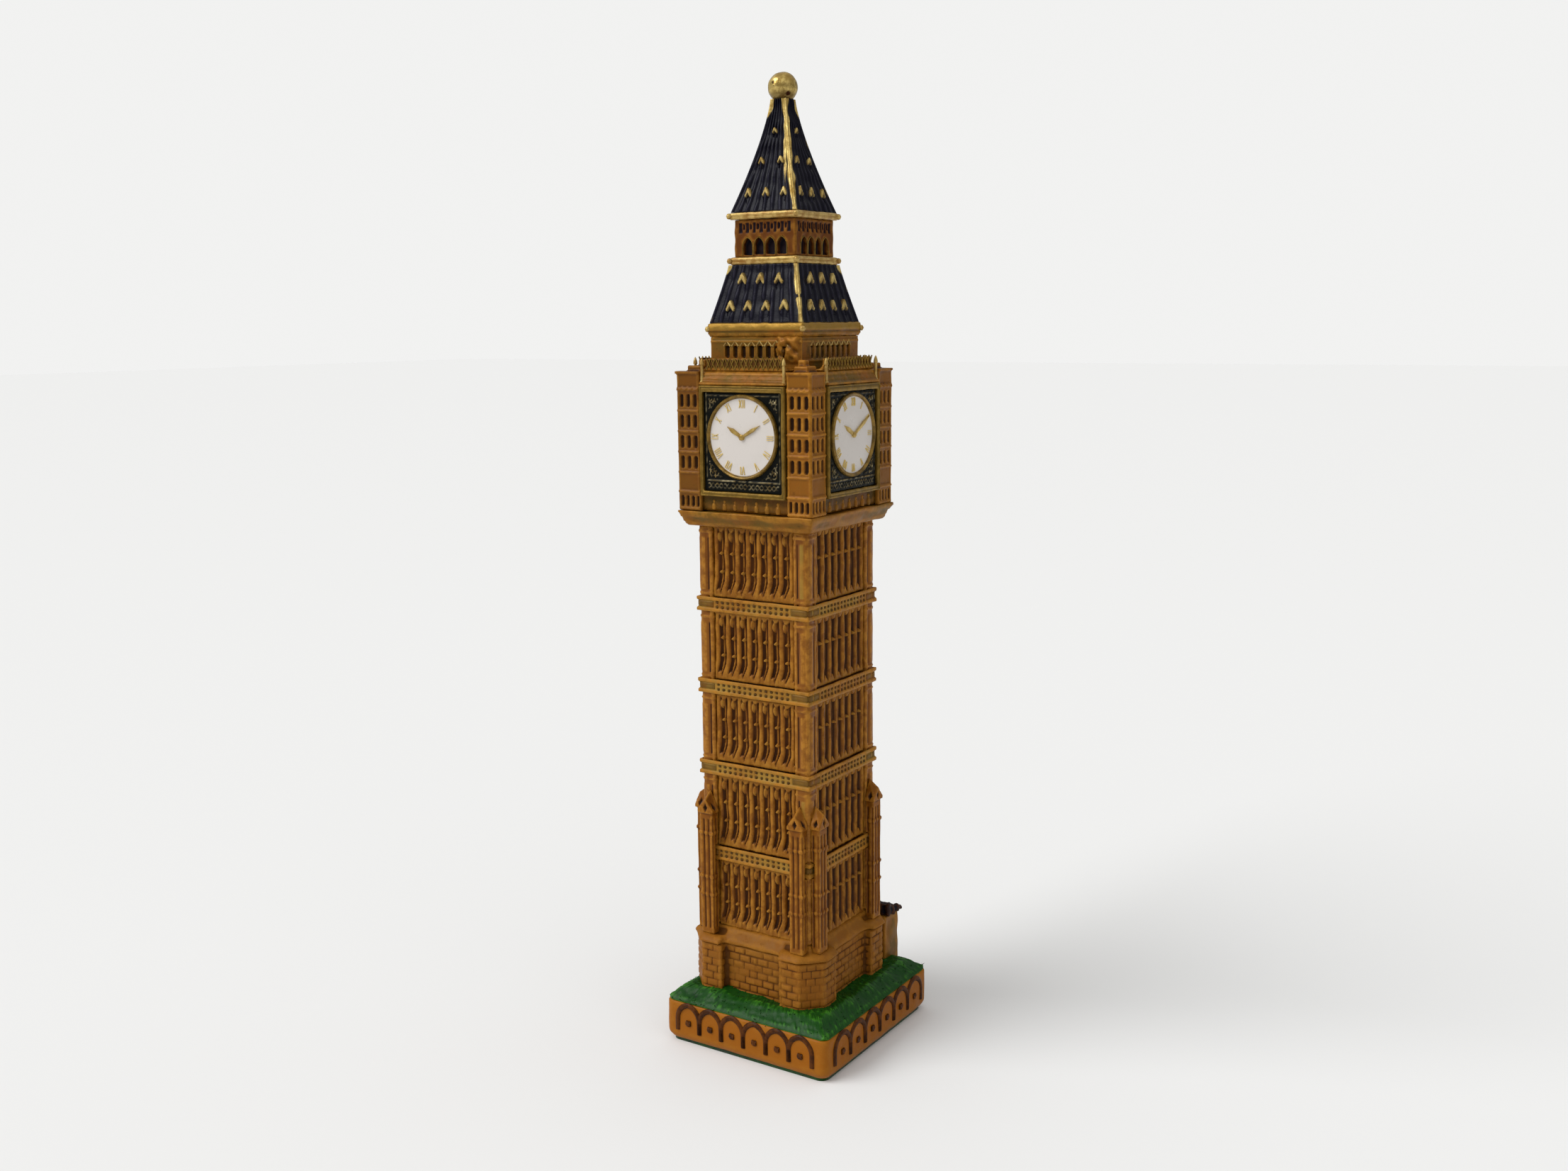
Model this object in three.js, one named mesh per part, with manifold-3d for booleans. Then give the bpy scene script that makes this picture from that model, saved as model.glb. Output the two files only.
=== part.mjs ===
// A hand-painted souvenir of a Gothic clock tower: a plinth with a grass mound, brick base walls, a
// shaft of tracery with eight buttresses, a clock stage with four dials, two roofs and a ball finial.
// Millimetres, +Z up. The origin is on the underside of the felt pad, on the tower's axis, and the
// front face looks along -Y. Nothing moves: the storeys stand on each other on square spigots.
import * as THREE from "three";
import { mergeVertices } from "three/addons/utils/BufferGeometryUtils.js";
import Module from "manifold-3d";

// ---- Driving dimensions -------------------------------------------------------------------------
const FIT = 0.3; // clearance round and above a spigot, and between pieces that slide past each other
const FRONT = 0, RIGHT = 1, BACK = 2, LEFT = 3; // a face is its number of quarter turns from the front
const FACES = { front: FRONT, right: RIGHT, back: BACK, left: LEFT };
const CORNERS = { front_right: FRONT, back_right: RIGHT, back_left: BACK, front_left: LEFT };

// Plinth
const FELT = { thickness: 0.8, inset: 1.2 };
const PLINTH = { leftMargin: 3.7, rightMargin: 6.7, frontMargin: 5.6, rearMargin: 1.2, height: 10.6, corner: 2.4 };
const CORNER_STEPS = 6;
const PLINTH_FOOT = { bevel: 0.8, rise: 1.5, corner: 3.5 };
const GRASS = { rise: 3.4, shoulder: 1.2, shoulderInset: 1.1, topInset: 4.4, edgeInset: 0.3 };

// Shaft: square half-widths are measured from the tower's axis to a face
const SHAFT = { half: 16.5, skin: 1.9, height: 106.7 };
const CORE_HALF = SHAFT.half - SHAFT.skin;
const PILASTER = { width: 4.2, chamfer: 0.7 };
const BAYS = { count: 7, margin: 1.25, slit: 1.1, backing: 0.6, rib: 1.6 };
const COURSE = { height: 3.8, lip: 0.8, thickness: 0.6, waist: 0.35, rises: [18.2, 41.2, 63.0, 84.6] };
const BUTTRESS = { width: 4, depth: 2.5, cornerInset: 2.65, eaves: 33.2, eavesLip: 0.8, overhang: 0.4 };
const BUTTRESS_CAP = { backRise: 5.1, frontRise: 2.9 };
const BUTTRESS_RINGS = { rises: [10.6, 15.5, 27.4], height: 0.6, proud: 0.25 };

// Base walls under the shaft: corner bastions, with a bay set back between them
const WALL = { half: SHAFT.half + 3.5, chamfer: 4.9, height: 16.1, bastion: 11, bayDepth: 2.2 };
const BAY_PLANE = WALL.half - WALL.bayDepth;
const BAY_HALF = WALL.half - WALL.bastion;
const LEDGE = { overhang: 0.8, lip: 0.8, bastionRise: 1.2, bastionInset: 0.7, rise: 4 };
const ANNEX = { sideInset: 2, depth: 7.6, height: 15.6 };
const ANNEX_ROOF = { overhang: 0.8, eaves: 0.9, wallRise: 3.6, ribs: 12, ribWidth: 0.9, ribProud: 0.35 };

// Clock stage
const CORBEL = { lowerHalf: SHAFT.half + 1.9, lipHalf: SHAFT.half + 3.7, flare: 3.4, lip: 0.7 };
const CLOCK = { coreHalf: SHAFT.half + 2.3, turretWall: 1, turretWidth: 6.9 };
const TURRET_HALF = CLOCK.coreHalf + CLOCK.turretWall;
const TURRET_TOP = { block: 2.8, lip: 0.6, lipProud: 0.3, stepHeight: 1.4, steps: 3 };
const FRAME = {
  half: TURRET_HALF - CLOCK.turretWidth - FIT,
  side: 0.9,
  foot: 4,
  bottomRail: 1.3,
  topRail: 1.6,
  proud: 1.7,
};
const SURROUND = { proud: 1.2, gap: 0.1, sideMargin: 1.2, topMargin: 0.45, bottomMargin: 3.15 };
const DIAL = {
  radius: FRAME.half - FRAME.side - SURROUND.sideMargin,
  rim: 0.9,
  faceProud: 1.1,
  rimProud: 1.8,
  segments: 40,
  gap: 0.15,
};
const DIAL_MIDDLE = FRAME.foot + FRAME.bottomRail + SURROUND.bottomMargin + DIAL.radius;
const CLOCK_HEIGHT = DIAL_MIDDLE + DIAL.radius + SURROUND.topMargin + FRAME.topRail;
const HANDS = { hub: 0.75, thick: 0.5, tail: 1 };
const HOUR = { reach: 5, wide: 1.1, degrees: 60 }; // degrees run anticlockwise from twelve
const MINUTE = { reach: 5.9, wide: 0.9, degrees: -60 };

// Cornice, parapet and arcade
const CORNICE = { lipProud: 1.6, lip: 0.8, ledgeProud: 1.1, topProud: 0.1, height: 3.4 };
const PARAPET = { deck: 0.6, endInset: 1.1, wallThick: 0.8, wallHeight: 2.6, setBack: 0.2 };
const ARCADE = { half: 13.5, height: 7.7, cut: 0.8 };
const ARCADE_SLOTS = { count: 8, pier: 3.7, mullion: 1.15, sill: 2.6, height: 2.9 };
const ARCADE_CORNICE = { neckProud: 0.4, lipProud: 0.7, neck: 0.5, lipLow: 1.7, lipHigh: 2.4, height: 3.5 };

// Roofs and lantern: a roof's half-width falls from foot to tip, faster near the foot as flare grows
const LANTERN = { half: 9, height: 9.1, cut: 1.2 };
const LANTERN_ARCHES = { count: 4, pier: 2.3, mullion: 0.65, foot: 0.5, spring: 2.6, crown: 4.4 };
const LANTERN_SLOTS = { count: 7, pier: 1.8, width: 0.8, foot: 6.6, height: 1.5, cut: 0.5 };
const SILL = { half: LANTERN.half + 1.05, height: 1.9, edge: 0.35 };
const LANTERN_CORNICE = { half: LANTERN.half + 1.05, height: 1.8, edge: 0.35 };
const FINIAL = { radius: 3.755, seatRadius: 2.45, pinRadius: 1, pinLength: 3, segments: 28, arcs: 14 };
const LOWER_ROOF = { height: 14.2, foot: ARCADE.half - 0.1, tip: LANTERN.half + 0.8, flare: 1.1, levels: 4 };
const SPIRE_TIP_INSET = 0.05; // inside the finial's seat
const SPIRE = {
  height: 27.4,
  foot: LANTERN.half + 0.3,
  tip: FINIAL.seatRadius - SPIRE_TIP_INSET,
  flare: 1.4,
  levels: 8,
};
const DORMER = { proud: 0.5, sunk: 3, eaves: 0.55 };
const LOWER_DORMERS = [
  { count: 4, pitch: 5.45, foot: 1.9, height: 3.1, width: 2 },
  { count: 3, pitch: 5.5, foot: 8.8, height: 3.4, width: 2 },
];
const SPIRE_DORMERS = [
  { count: 3, pitch: 5.2, foot: 2.9, height: 2.8, width: 1.5 },
  { count: 2, pitch: 5.7, foot: 11, height: 2, width: 1.3 },
  { count: 1, pitch: 0, foot: 18.6, height: 1.6, width: 1.1 },
];

// Each spigot's half-width and how far it enters the piece above, named for that piece.
const SPIGOT = {
  walls: [BAY_PLANE - 5.8, 5],
  ledge: [CORE_HALF - 3.6, 2.4],
  shaft: [CORE_HALF - 5.6, 5],
  corbel: [CORE_HALF - 4.6, 2.4],
  clock: [CORE_HALF - 2.6, 2.4],
  cornice: [FRAME.half - 0.6, 2.2],
  arcade: [ARCADE.half - 4.5, 3],
  arcadeCornice: [ARCADE.half - 5.5, 1.8],
  lowerRoof: [LOWER_ROOF.tip - 1.8, 2.4],
  lantern: [LANTERN.half - 2.2, 1.5],
  spire: [LANTERN.half - 4, 1.5],
};

// ---- Heights of the seats, from the ground up ---------------------------------------------------
const Z = {};
Z.plinth = FELT.thickness;
Z.walls = Z.plinth + PLINTH.height;
Z.ledge = Z.walls + WALL.height;
Z.bastionTop = Z.ledge + LEDGE.lip + LEDGE.bastionRise;
Z.shaft = Z.ledge + LEDGE.rise;
Z.corbel = Z.shaft + SHAFT.height;
Z.clock = Z.corbel + CORBEL.flare + CORBEL.lip;
Z.cornice = Z.clock + CLOCK_HEIGHT;
Z.parapet = Z.cornice + CORNICE.height;
Z.arcade = Z.parapet + PARAPET.deck;
Z.arcadeCornice = Z.arcade + ARCADE.height;
Z.lowerRoof = Z.arcadeCornice + ARCADE_CORNICE.height;
Z.sill = Z.lowerRoof + LOWER_ROOF.height;
Z.lantern = Z.sill + SILL.height;
Z.lanternCornice = Z.lantern + LANTERN.height;
Z.spire = Z.lanternCornice + LANTERN_CORNICE.height;
Z.finial = Z.spire + SPIRE.height;

// ---- Solids -------------------------------------------------------------------------------------
const wasm = await Module();
wasm.setup();

function solidOf(geometry) {
  const bare = geometry.clone();
  bare.deleteAttribute("normal");
  bare.deleteAttribute("uv");
  const merged = mergeVertices(bare, 1e-4);
  const mesh = { numProp: 3, vertProperties: merged.attributes.position.array };
  return new wasm.Manifold(new wasm.Mesh({ ...mesh, triVerts: new Uint32Array(merged.index.array) }));
}

function geometryOf(solid) {
  const { vertProperties, triVerts } = solid.getMesh();
  const geometry = new THREE.BufferGeometry();
  geometry.setAttribute("position", new THREE.BufferAttribute(vertProperties, 3));
  geometry.setIndex(new THREE.BufferAttribute(triVerts, 1));
  return geometry;
}

// The triangles that fill an outline, all anticlockwise seen from above.
function fill(outline) {
  const points = outline.map(([x, y]) => new THREE.Vector2(x, y));
  return THREE.ShapeUtils.triangulateShape(points, []).map(([a, b, c]) => {
    const area = THREE.ShapeUtils.area([points[a], points[b], points[c]]);
    return area > 0 ? [a, b, c] : [a, c, b];
  });
}

// A closed solid through levels [height, outline], whose outlines have equally many points.
function stack(levels) {
  const count = levels[0][1].length;
  const positions = levels.flatMap(([z, outline]) => outline.flatMap(([x, y]) => [x, y, z]));
  const index = [];
  for (let level = 0; level < levels.length - 1; level++) {
    for (let i = 0; i < count; i++) {
      const low = level * count + i;
      const next = level * count + ((i + 1) % count);
      index.push(low, next, next + count, low, next + count, low + count);
    }
  }
  const top = (levels.length - 1) * count;
  for (const [a, b, c] of fill(levels[0][1])) index.push(a, c, b);
  for (const [a, b, c] of fill(levels.at(-1)[1])) index.push(top + a, top + b, top + c);
  const geometry = new THREE.BufferGeometry();
  geometry.setAttribute("position", new THREE.Float32BufferAttribute(positions, 3));
  geometry.setIndex(index);
  return geometry;
}

// Square storeys from [height above base, half-width] pairs.
function squareStack(base, profile) {
  return solidOf(stack(profile.map(([rise, half]) => [base + rise, square(half)])));
}

function block([x0, x1], [y0, y1], [z0, z1]) {
  const outline = [[x0, y0], [x1, y0], [x1, y1], [x0, y1]];
  return solidOf(stack([[z0, outline], [z1, outline]]));
}

function addAll(solid, others) {
  return others.reduce((sum, other) => sum.add(other), solid);
}

function cutAll(solid, others) {
  return others.reduce((rest, other) => rest.subtract(other), solid);
}

// ---- Outlines, anticlockwise from above ---------------------------------------------------------
function square(half) {
  return [[-half, -half], [half, -half], [half, half], [-half, half]];
}

function quarterTurn([x, y], turns) {
  for (let i = 0; i < turns; i++) [x, y] = [-y, x];
  return [x, y];
}

// One side's points (along the face, out from the axis), repeated on all four faces.
function fourSides(side) {
  return Object.values(FACES).flatMap((face) => side.map(([u, w]) => quarterTurn([u, -w], face)));
}

function plus(armHalf, reach) {
  return fourSides([[-armHalf, reach], [armHalf, reach], [armHalf, armHalf]]);
}

// Four chamfered corner bastions with a bay set back between them.
function bastions(grow, bayGrow = grow) {
  const half = WALL.half + grow;
  const end = half - WALL.chamfer - grow * (2 - Math.SQRT2);
  const bay = BAY_PLANE + bayGrow;
  return fourSides([
    [-end, half], [-BAY_HALF, half], [-BAY_HALF, bay], [BAY_HALF, bay], [BAY_HALF, half], [end, half],
  ]);
}

// The plinth's plan: it reaches further back than forward, because it carries the annex too, and it
// sits a little to the right under the tower.
function roundedPlan(inset, corner = PLINTH.corner) {
  const front = WALL.half + PLINTH.frontMargin;
  const rear = WALL.half + ANNEX.depth + PLINTH.rearMargin;
  const shift = (PLINTH.rightMargin - PLINTH.leftMargin) / 2;
  const halfX = WALL.half + (PLINTH.leftMargin + PLINTH.rightMargin) / 2 - inset;
  const halfY = (front + rear) / 2 - inset;
  const radius = Math.max(corner - inset, 0.5);
  const points = [];
  for (const [sx, sy, start] of [[1, -1, -90], [1, 1, 0], [-1, 1, 90], [-1, -1, 180]]) {
    for (let step = 0; step <= CORNER_STEPS; step++) {
      const angle = THREE.MathUtils.degToRad(start + (90 * step) / CORNER_STEPS);
      const x = shift + sx * (halfX - radius) + radius * Math.cos(angle);
      points.push([x, (rear - front) / 2 + sy * (halfY - radius) + radius * Math.sin(angle)]);
    }
  }
  return points;
}

function centred(count, pitch) {
  return Array.from({ length: count }, (_, i) => (i - (count - 1) / 2) * pitch);
}

// ---- Faces: u runs to the right, v up and w out from the axis -----------------------------------
// Built in x = u, y = v, z = w and swapped into place, so that every coordinate stays exact.
function ontoFace(geometry, face) {
  const moved = geometry.clone();
  const place = moved.attributes.position;
  for (let i = 0; i < place.count; i++) {
    const [x, y] = quarterTurn([place.getX(i), -place.getZ(i)], face);
    place.setXYZ(i, x, y, place.getY(i));
  }
  return moved;
}

function onFace(levels, face) {
  return solidOf(ontoFace(stack(levels), face));
}

function faceBlock([u0, u1], [v0, v1], [w0, w1], face) {
  const outline = [[u0, v0], [u1, v0], [u1, v1], [u0, v1]];
  return onFace([[w0, outline], [w1, outline]], face);
}

function onFourFaces(make) {
  return Object.values(FACES).flatMap(make);
}

// ---- Spigot joints ------------------------------------------------------------------------------
// A spigot may first pass through a ring that lies between the two pieces.
function withSpigot(solid, [half, height], seat, ring = 0) {
  return solid.add(block([-half, half], [-half, half], [seat - 0.5, seat + ring + height]));
}

function withSocket(solid, [half, height], seat) {
  const side = half + FIT;
  return solid.subtract(block([-side, side], [-side, side], [seat - 1, seat + height + FIT]));
}

function withHole(solid, [half], low, high) {
  const side = half + FIT;
  return solid.subtract(block([-side, side], [-side, side], [low - 1, high + 1]));
}

// ---- Colours ------------------------------------------------------------------------------------
const paint = (color, roughness, metalness = 0) =>
  new THREE.MeshStandardMaterial({ color, roughness, metalness });
const PAINTS = {
  felt: () => paint(0x1d2b22, 0.95),
  ochre: () => paint(0xa8642a, 0.5),
  grass: () => paint(0x1c6a22, 0.4),
  stone: () => paint(0x8f6428, 0.5),
  gold: () => paint(0xa98a45, 0.35, 0.6),
  roof: () => paint(0x1c1d2b, 0.4),
  black: () => paint(0x15161a, 0.4),
  white: () => paint(0xdcd8dc, 0.45),
};

const model = new THREE.Group();

function addPiece(name, solid, colour) {
  const mesh = new THREE.Mesh(geometryOf(solid), PAINTS[colour]());
  mesh.name = name;
  model.add(mesh);
}

// ---- Plinth -------------------------------------------------------------------------------------
function feltPad() {
  const outline = roundedPlan(FELT.inset, PLINTH_FOOT.corner);
  return solidOf(stack([[0, outline], [FELT.thickness, outline]]));
}

function plinth() {
  const outline = roundedPlan(0);
  const foot = roundedPlan(PLINTH_FOOT.bevel, PLINTH_FOOT.corner);
  const body = solidOf(stack([[Z.plinth, foot], [Z.plinth + PLINTH_FOOT.rise, outline], [Z.walls, outline]]));
  return withSpigot(body, SPIGOT.walls, Z.walls);
}

function annexRange(gap) {
  const side = WALL.half - ANNEX.sideInset + gap;
  return [[-side, side], [WALL.half - gap, WALL.half + ANNEX.depth + gap]];
}

// The annex keys into the rear bay between the bastions.
function annexTongue(gap) {
  const half = BAY_HALF - FIT + gap;
  return [[-half, half], [BAY_PLANE - gap, WALL.half + 0.5]];
}

function grassMound() {
  const edge = roundedPlan(GRASS.edgeInset);
  const mound = solidOf(
    stack([
      [Z.walls, edge],
      [Z.walls + GRASS.shoulder, roundedPlan(GRASS.shoulderInset)],
      [Z.walls + GRASS.rise, roundedPlan(GRASS.topInset)],
    ]),
  );
  const walls = bastions(FIT);
  const high = Z.walls + GRASS.rise + 1;
  return cutAll(mound, [
    solidOf(stack([[Z.plinth, walls], [high, walls]])),
    block(...annexRange(FIT), [Z.plinth, high]),
    block(...annexTongue(FIT), [Z.plinth, high]),
  ]);
}

// ---- Base walls, ledge and annex ----------------------------------------------------------------
function baseWalls() {
  const outline = bastions(0);
  const walls = solidOf(stack([[Z.walls, outline], [Z.ledge, outline]]));
  return withSpigot(withSocket(walls, SPIGOT.walls, Z.walls), SPIGOT.ledge, Z.ledge);
}

function baseLedge() {
  const { overhang, lip, bastionInset } = LEDGE;
  const bayInset = SHAFT.half - BAY_PLANE;
  const lipTop = Z.ledge + lip;
  const course = solidOf(
    stack([
      [Z.ledge, bastions(overhang)],
      [lipTop, bastions(overhang)],
      [Z.bastionTop, bastions(-bastionInset, bayInset)],
    ]),
  );
  const bayLip = BAY_PLANE + overhang;
  const slopes = onFourFaces((face) => {
    const rows = [[SHAFT.half - 4, Z.shaft], [SHAFT.half, Z.shaft], [bayLip, lipTop]];
    const levels = rows.map(([w, high]) => [w, sideways(high)]);
    return [onFace(levels, face)];
  });
  const seat = block([-SHAFT.half, SHAFT.half], [-SHAFT.half, SHAFT.half], [Z.ledge, Z.shaft]);
  const ledge = addAll(course, [seat, ...slopes]);
  return withSpigot(withSocket(ledge, SPIGOT.ledge, Z.ledge), SPIGOT.shaft, Z.shaft);

  function sideways(high) {
    return [[-BAY_HALF, Z.ledge], [BAY_HALF, Z.ledge], [BAY_HALF, high], [-BAY_HALF, high]];
  }
}

function annexWalls() {
  const rise = [Z.walls, Z.walls + ANNEX.height];
  return block(...annexRange(0), rise).add(block(...annexTongue(0), rise));
}

// A lean-to roof that falls away from the tower, with standing ribs down its slope.
function annexRoof() {
  const { overhang, eaves, wallRise, ribs, ribWidth, ribProud } = ANNEX_ROOF;
  const foot = Z.walls + ANNEX.height;
  const half = WALL.half - ANNEX.sideInset + overhang;
  const near = WALL.half + LEDGE.overhang;
  const far = WALL.half + ANNEX.depth + overhang;
  const slab = (u0, u1, lift) =>
    onFace(
      [
        [near, [[u0, foot], [u1, foot], [u1, foot + wallRise + lift], [u0, foot + wallRise + lift]]],
        [far, [[u0, foot], [u1, foot], [u1, foot + eaves + lift], [u0, foot + eaves + lift]]],
      ],
      BACK,
    );
  const pitch = (2 * half - ribWidth) / (ribs - 1);
  const standing = centred(ribs, pitch).map((u) => slab(u - ribWidth / 2, u + ribWidth / 2, ribProud));
  return addAll(slab(-half, half, 0), standing);
}

// ---- Shaft --------------------------------------------------------------------------------------
function shaftCore() {
  const core = squareStack(Z.shaft, [[0, CORE_HALF], [SHAFT.height, CORE_HALF]]);
  return withSpigot(withSocket(core, SPIGOT.shaft, Z.shaft), SPIGOT.corbel, Z.corbel);
}

// An angle-shaped pilaster that wraps one corner of the core, at the right-hand end of its face.
function cornerPilaster(face) {
  const outer = SHAFT.half;
  const inner = CORE_HALF;
  const start = outer - PILASTER.width;
  const bevel = outer - PILASTER.chamfer;
  const plan = [
    [start, -outer], [bevel, -outer], [outer, -bevel], [outer, -start],
    [inner, -start], [inner, -inner], [start, -inner],
  ];
  const outline = plan.map((point) => quarterTurn(point, face));
  return solidOf(stack([[Z.shaft, outline], [Z.corbel, outline]]));
}

// A comb of ribs with a slit between each two, on a thin back.
function traceryPanel(face) {
  const edge = SHAFT.half - PILASTER.width - FIT;
  const back = CORE_HALF;
  const floor = back + BAYS.backing;
  const ribTop = back + BAYS.rib;
  const comb = [[-edge, back], [-edge, ribTop]];
  for (const u of centred(BAYS.count, (2 * (edge - BAYS.margin)) / BAYS.count)) {
    const [left, right] = [u - BAYS.slit / 2, u + BAYS.slit / 2];
    comb.push([left, ribTop], [left, floor], [right, floor], [right, ribTop]);
  }
  comb.push([edge, ribTop], [edge, back]);
  const outline = comb.map(([u, w]) => quarterTurn([u, -w], face));
  return solidOf(stack([[Z.shaft, outline], [Z.corbel, outline]]));
}

// A moulded ring round the whole shaft, with a lip at its top and bottom.
function stringCourse(rise) {
  const { height, lip, thickness, waist } = COURSE;
  const bottom = Z.shaft + rise;
  const outer = SHAFT.half + thickness;
  const middle = SHAFT.half + waist;
  const ring = squareStack(bottom, [
    [0, outer], [lip, outer], [lip, middle], [height - lip, middle], [height - lip, outer], [height, outer],
  ]);
  const hole = [-SHAFT.half, SHAFT.half];
  return ring.subtract(block(hole, hole, [bottom - 1, bottom + height + 1]));
}

// A buttress with a gabled cap, housed over any string course that passes behind it.
function buttress(face, side) {
  const { width, depth, cornerInset, eaves, eavesLip, overhang } = BUTTRESS;
  const back = SHAFT.half;
  const front = back + depth;
  const half = width / 2;
  const middle = side * (SHAFT.half - cornerInset);
  const foot = Z.bastionTop;
  const high = foot + eaves;
  const span = (grow) => [middle - half - grow, middle + half + grow];
  const post = faceBlock(span(0), [foot, high], [back, front], face);
  const { rises, height, proud } = BUTTRESS_RINGS;
  const rings = rises.map((rise) =>
    faceBlock(span(proud), [foot + rise, foot + rise + height], [back, front + proud], face),
  );
  const gable = (rise) => {
    const [left, right] = span(overhang);
    const lipTop = high + eavesLip;
    return [[left, high], [right, high], [right, lipTop], [middle, lipTop + rise], [left, lipTop]];
  };
  const { backRise, frontRise } = BUTTRESS_CAP;
  const cap = onFace([[back, gable(backRise)], [front + overhang, gable(frontRise)]], face);
  const clear = back + COURSE.thickness + FIT;
  const housings = COURSE.rises.map((rise) => {
    const bottom = Z.shaft + rise;
    const gap = [bottom - FIT, bottom + COURSE.height + FIT];
    return faceBlock(span(overhang + 1), gap, [back - 1, clear], face);
  });
  return cutAll(addAll(post, [...rings, cap]), housings);
}

// ---- Clock stage --------------------------------------------------------------------------------
function clockCorbel() {
  const { lowerHalf, lipHalf, flare, lip } = CORBEL;
  const corbel = squareStack(Z.corbel, [[0, lowerHalf], [flare, lipHalf], [flare + lip, lipHalf]]);
  return withSpigot(withSocket(corbel, SPIGOT.corbel, Z.corbel), SPIGOT.clock, Z.clock);
}

function clockCore() {
  const core = squareStack(Z.clock, [[0, CLOCK.coreHalf], [CLOCK_HEIGHT, CLOCK.coreHalf]]);
  return withSpigot(withSocket(core, SPIGOT.clock, Z.clock), SPIGOT.cornice, Z.cornice);
}

// A turret that wraps one corner of the clock stage and ends in a stepped top.
function cornerTurret(face) {
  const outer = TURRET_HALF;
  const inner = CLOCK.coreHalf;
  const start = outer - CLOCK.turretWidth;
  const plan = [
    [start, -outer], [outer, -outer], [outer, -start], [inner, -start], [inner, -inner], [start, -inner],
  ];
  const angle = plan.map((point) => quarterTurn(point, face));
  const wall = solidOf(stack([[Z.clock, angle], [Z.cornice + 0.5, angle]]));
  const { block: blockHeight, lip, lipProud, stepHeight, steps } = TURRET_TOP;
  const lipFoot = Z.cornice + blockHeight;
  const stepFoot = lipFoot + lip;
  const stepStart = Math.max(start, ARCADE.half + FIT);
  const stepped = [1, 2].map((step) => {
    const far = THREE.MathUtils.lerp(outer, stepStart, step / steps);
    return cornerBlock(stepStart, far, stepFoot, stepFoot + step * stepHeight);
  });
  return addAll(wall, [
    cornerBlock(start, outer, Z.cornice, lipFoot),
    cornerBlock(start, outer + lipProud, lipFoot, stepFoot),
    ...stepped,
  ]);

  function cornerBlock(near, far, low, high) {
    const corner = [[near, -far], [far, -far], [far, -near], [near, -near]];
    const outline = corner.map((point) => quarterTurn(point, face));
    return solidOf(stack([[low, outline], [high, outline]]));
  }
}

const frameFoot = Z.clock + FRAME.foot;
const panelFoot = frameFoot + FRAME.bottomRail;
const panelTop = Z.cornice - FRAME.topRail;

function clockFrame(face) {
  const { half, side, proud } = FRAME;
  const depth = [CLOCK.coreHalf, CLOCK.coreHalf + proud];
  const through = [depth[0] - 1, depth[1] + 1];
  const slab = faceBlock([-half, half], [frameFoot, Z.cornice], depth, face);
  return slab.subtract(faceBlock([side - half, half - side], [panelFoot, panelTop], through, face));
}

function disc(radius, low, high) {
  return turned([[0, low], [radius, low], [radius, high], [0, high]]);
}

// A turned solid from [radius, height] points, still on its own y axis.
function turned(profile, segments = DIAL.segments) {
  return new THREE.LatheGeometry(profile.map(([x, y]) => new THREE.Vector2(x, y)), segments);
}

// A turned solid (axis along its own y) brought onto a face at height v above the clock stage's foot.
function turnedOntoFace(lathe, face) {
  const moved = lathe.clone();
  const place = moved.attributes.position;
  for (let i = 0; i < place.count; i++) {
    const [x, y, z] = [place.getX(i), place.getY(i), place.getZ(i)];
    place.setXYZ(i, x, Z.clock + DIAL_MIDDLE - z, y);
  }
  return solidOf(ontoFace(moved, face));
}

function dialSurround(face) {
  const half = FRAME.half - FRAME.side - SURROUND.gap;
  const high = [panelFoot + SURROUND.gap, panelTop - SURROUND.gap];
  const depth = [CLOCK.coreHalf, CLOCK.coreHalf + SURROUND.proud];
  const hole = disc(DIAL.radius + DIAL.gap, depth[0] - 1, depth[1] + 1);
  return faceBlock([-half, half], high, depth, face).subtract(turnedOntoFace(hole, face));
}

// A round dish whose raised rim is the bezel.
function dial(face) {
  const low = CLOCK.coreHalf;
  const { radius, rim, faceProud, rimProud } = DIAL;
  const profile = [
    [0, low], [radius, low], [radius, low + rimProud], [radius - rim / 2, low + rimProud],
    [radius - rim, low + faceProud], [0, low + faceProud],
  ];
  return turnedOntoFace(turned(profile), face);
}

function clockHands(face) {
  const low = CLOCK.coreHalf + DIAL.faceProud;
  const centre = Z.clock + DIAL_MIDDLE;
  const { hub, thick, tail } = HANDS;
  const boss = turnedOntoFace(disc(hub, low, low + thick * 1.4), face);
  return addAll(boss, [pointer(HOUR, thick), pointer(MINUTE, thick * 1.2)]);

  function pointer({ reach, wide, degrees }, proud) {
    const angle = THREE.MathUtils.degToRad(degrees);
    const [half, shoulder] = [wide / 2, reach * 0.8];
    const blade = [[-half, -tail], [half, -tail], [half, shoulder], [0, reach], [-half, shoulder]];
    const outline = blade.map(([u, v]) => [
      u * Math.cos(angle) - v * Math.sin(angle),
      centre + u * Math.sin(angle) + v * Math.cos(angle),
    ]);
    return onFace([[low, outline], [low + proud, outline]], face);
  }
}

// ---- Cornice, parapet and arcade ----------------------------------------------------------------
function clockCornice() {
  const { lipProud, lip, ledgeProud, topProud, height } = CORNICE;
  const rows = [[0, lipProud], [lip, lipProud], [lip, ledgeProud], [height, topProud]];
  const levels = rows.map(([rise, proud]) => [Z.cornice + rise, plus(FRAME.half, CLOCK.coreHalf + proud)]);
  const cornice = solidOf(stack(levels));
  return withSpigot(withSocket(cornice, SPIGOT.cornice, Z.cornice), SPIGOT.arcade, Z.parapet, PARAPET.deck);
}

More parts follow.
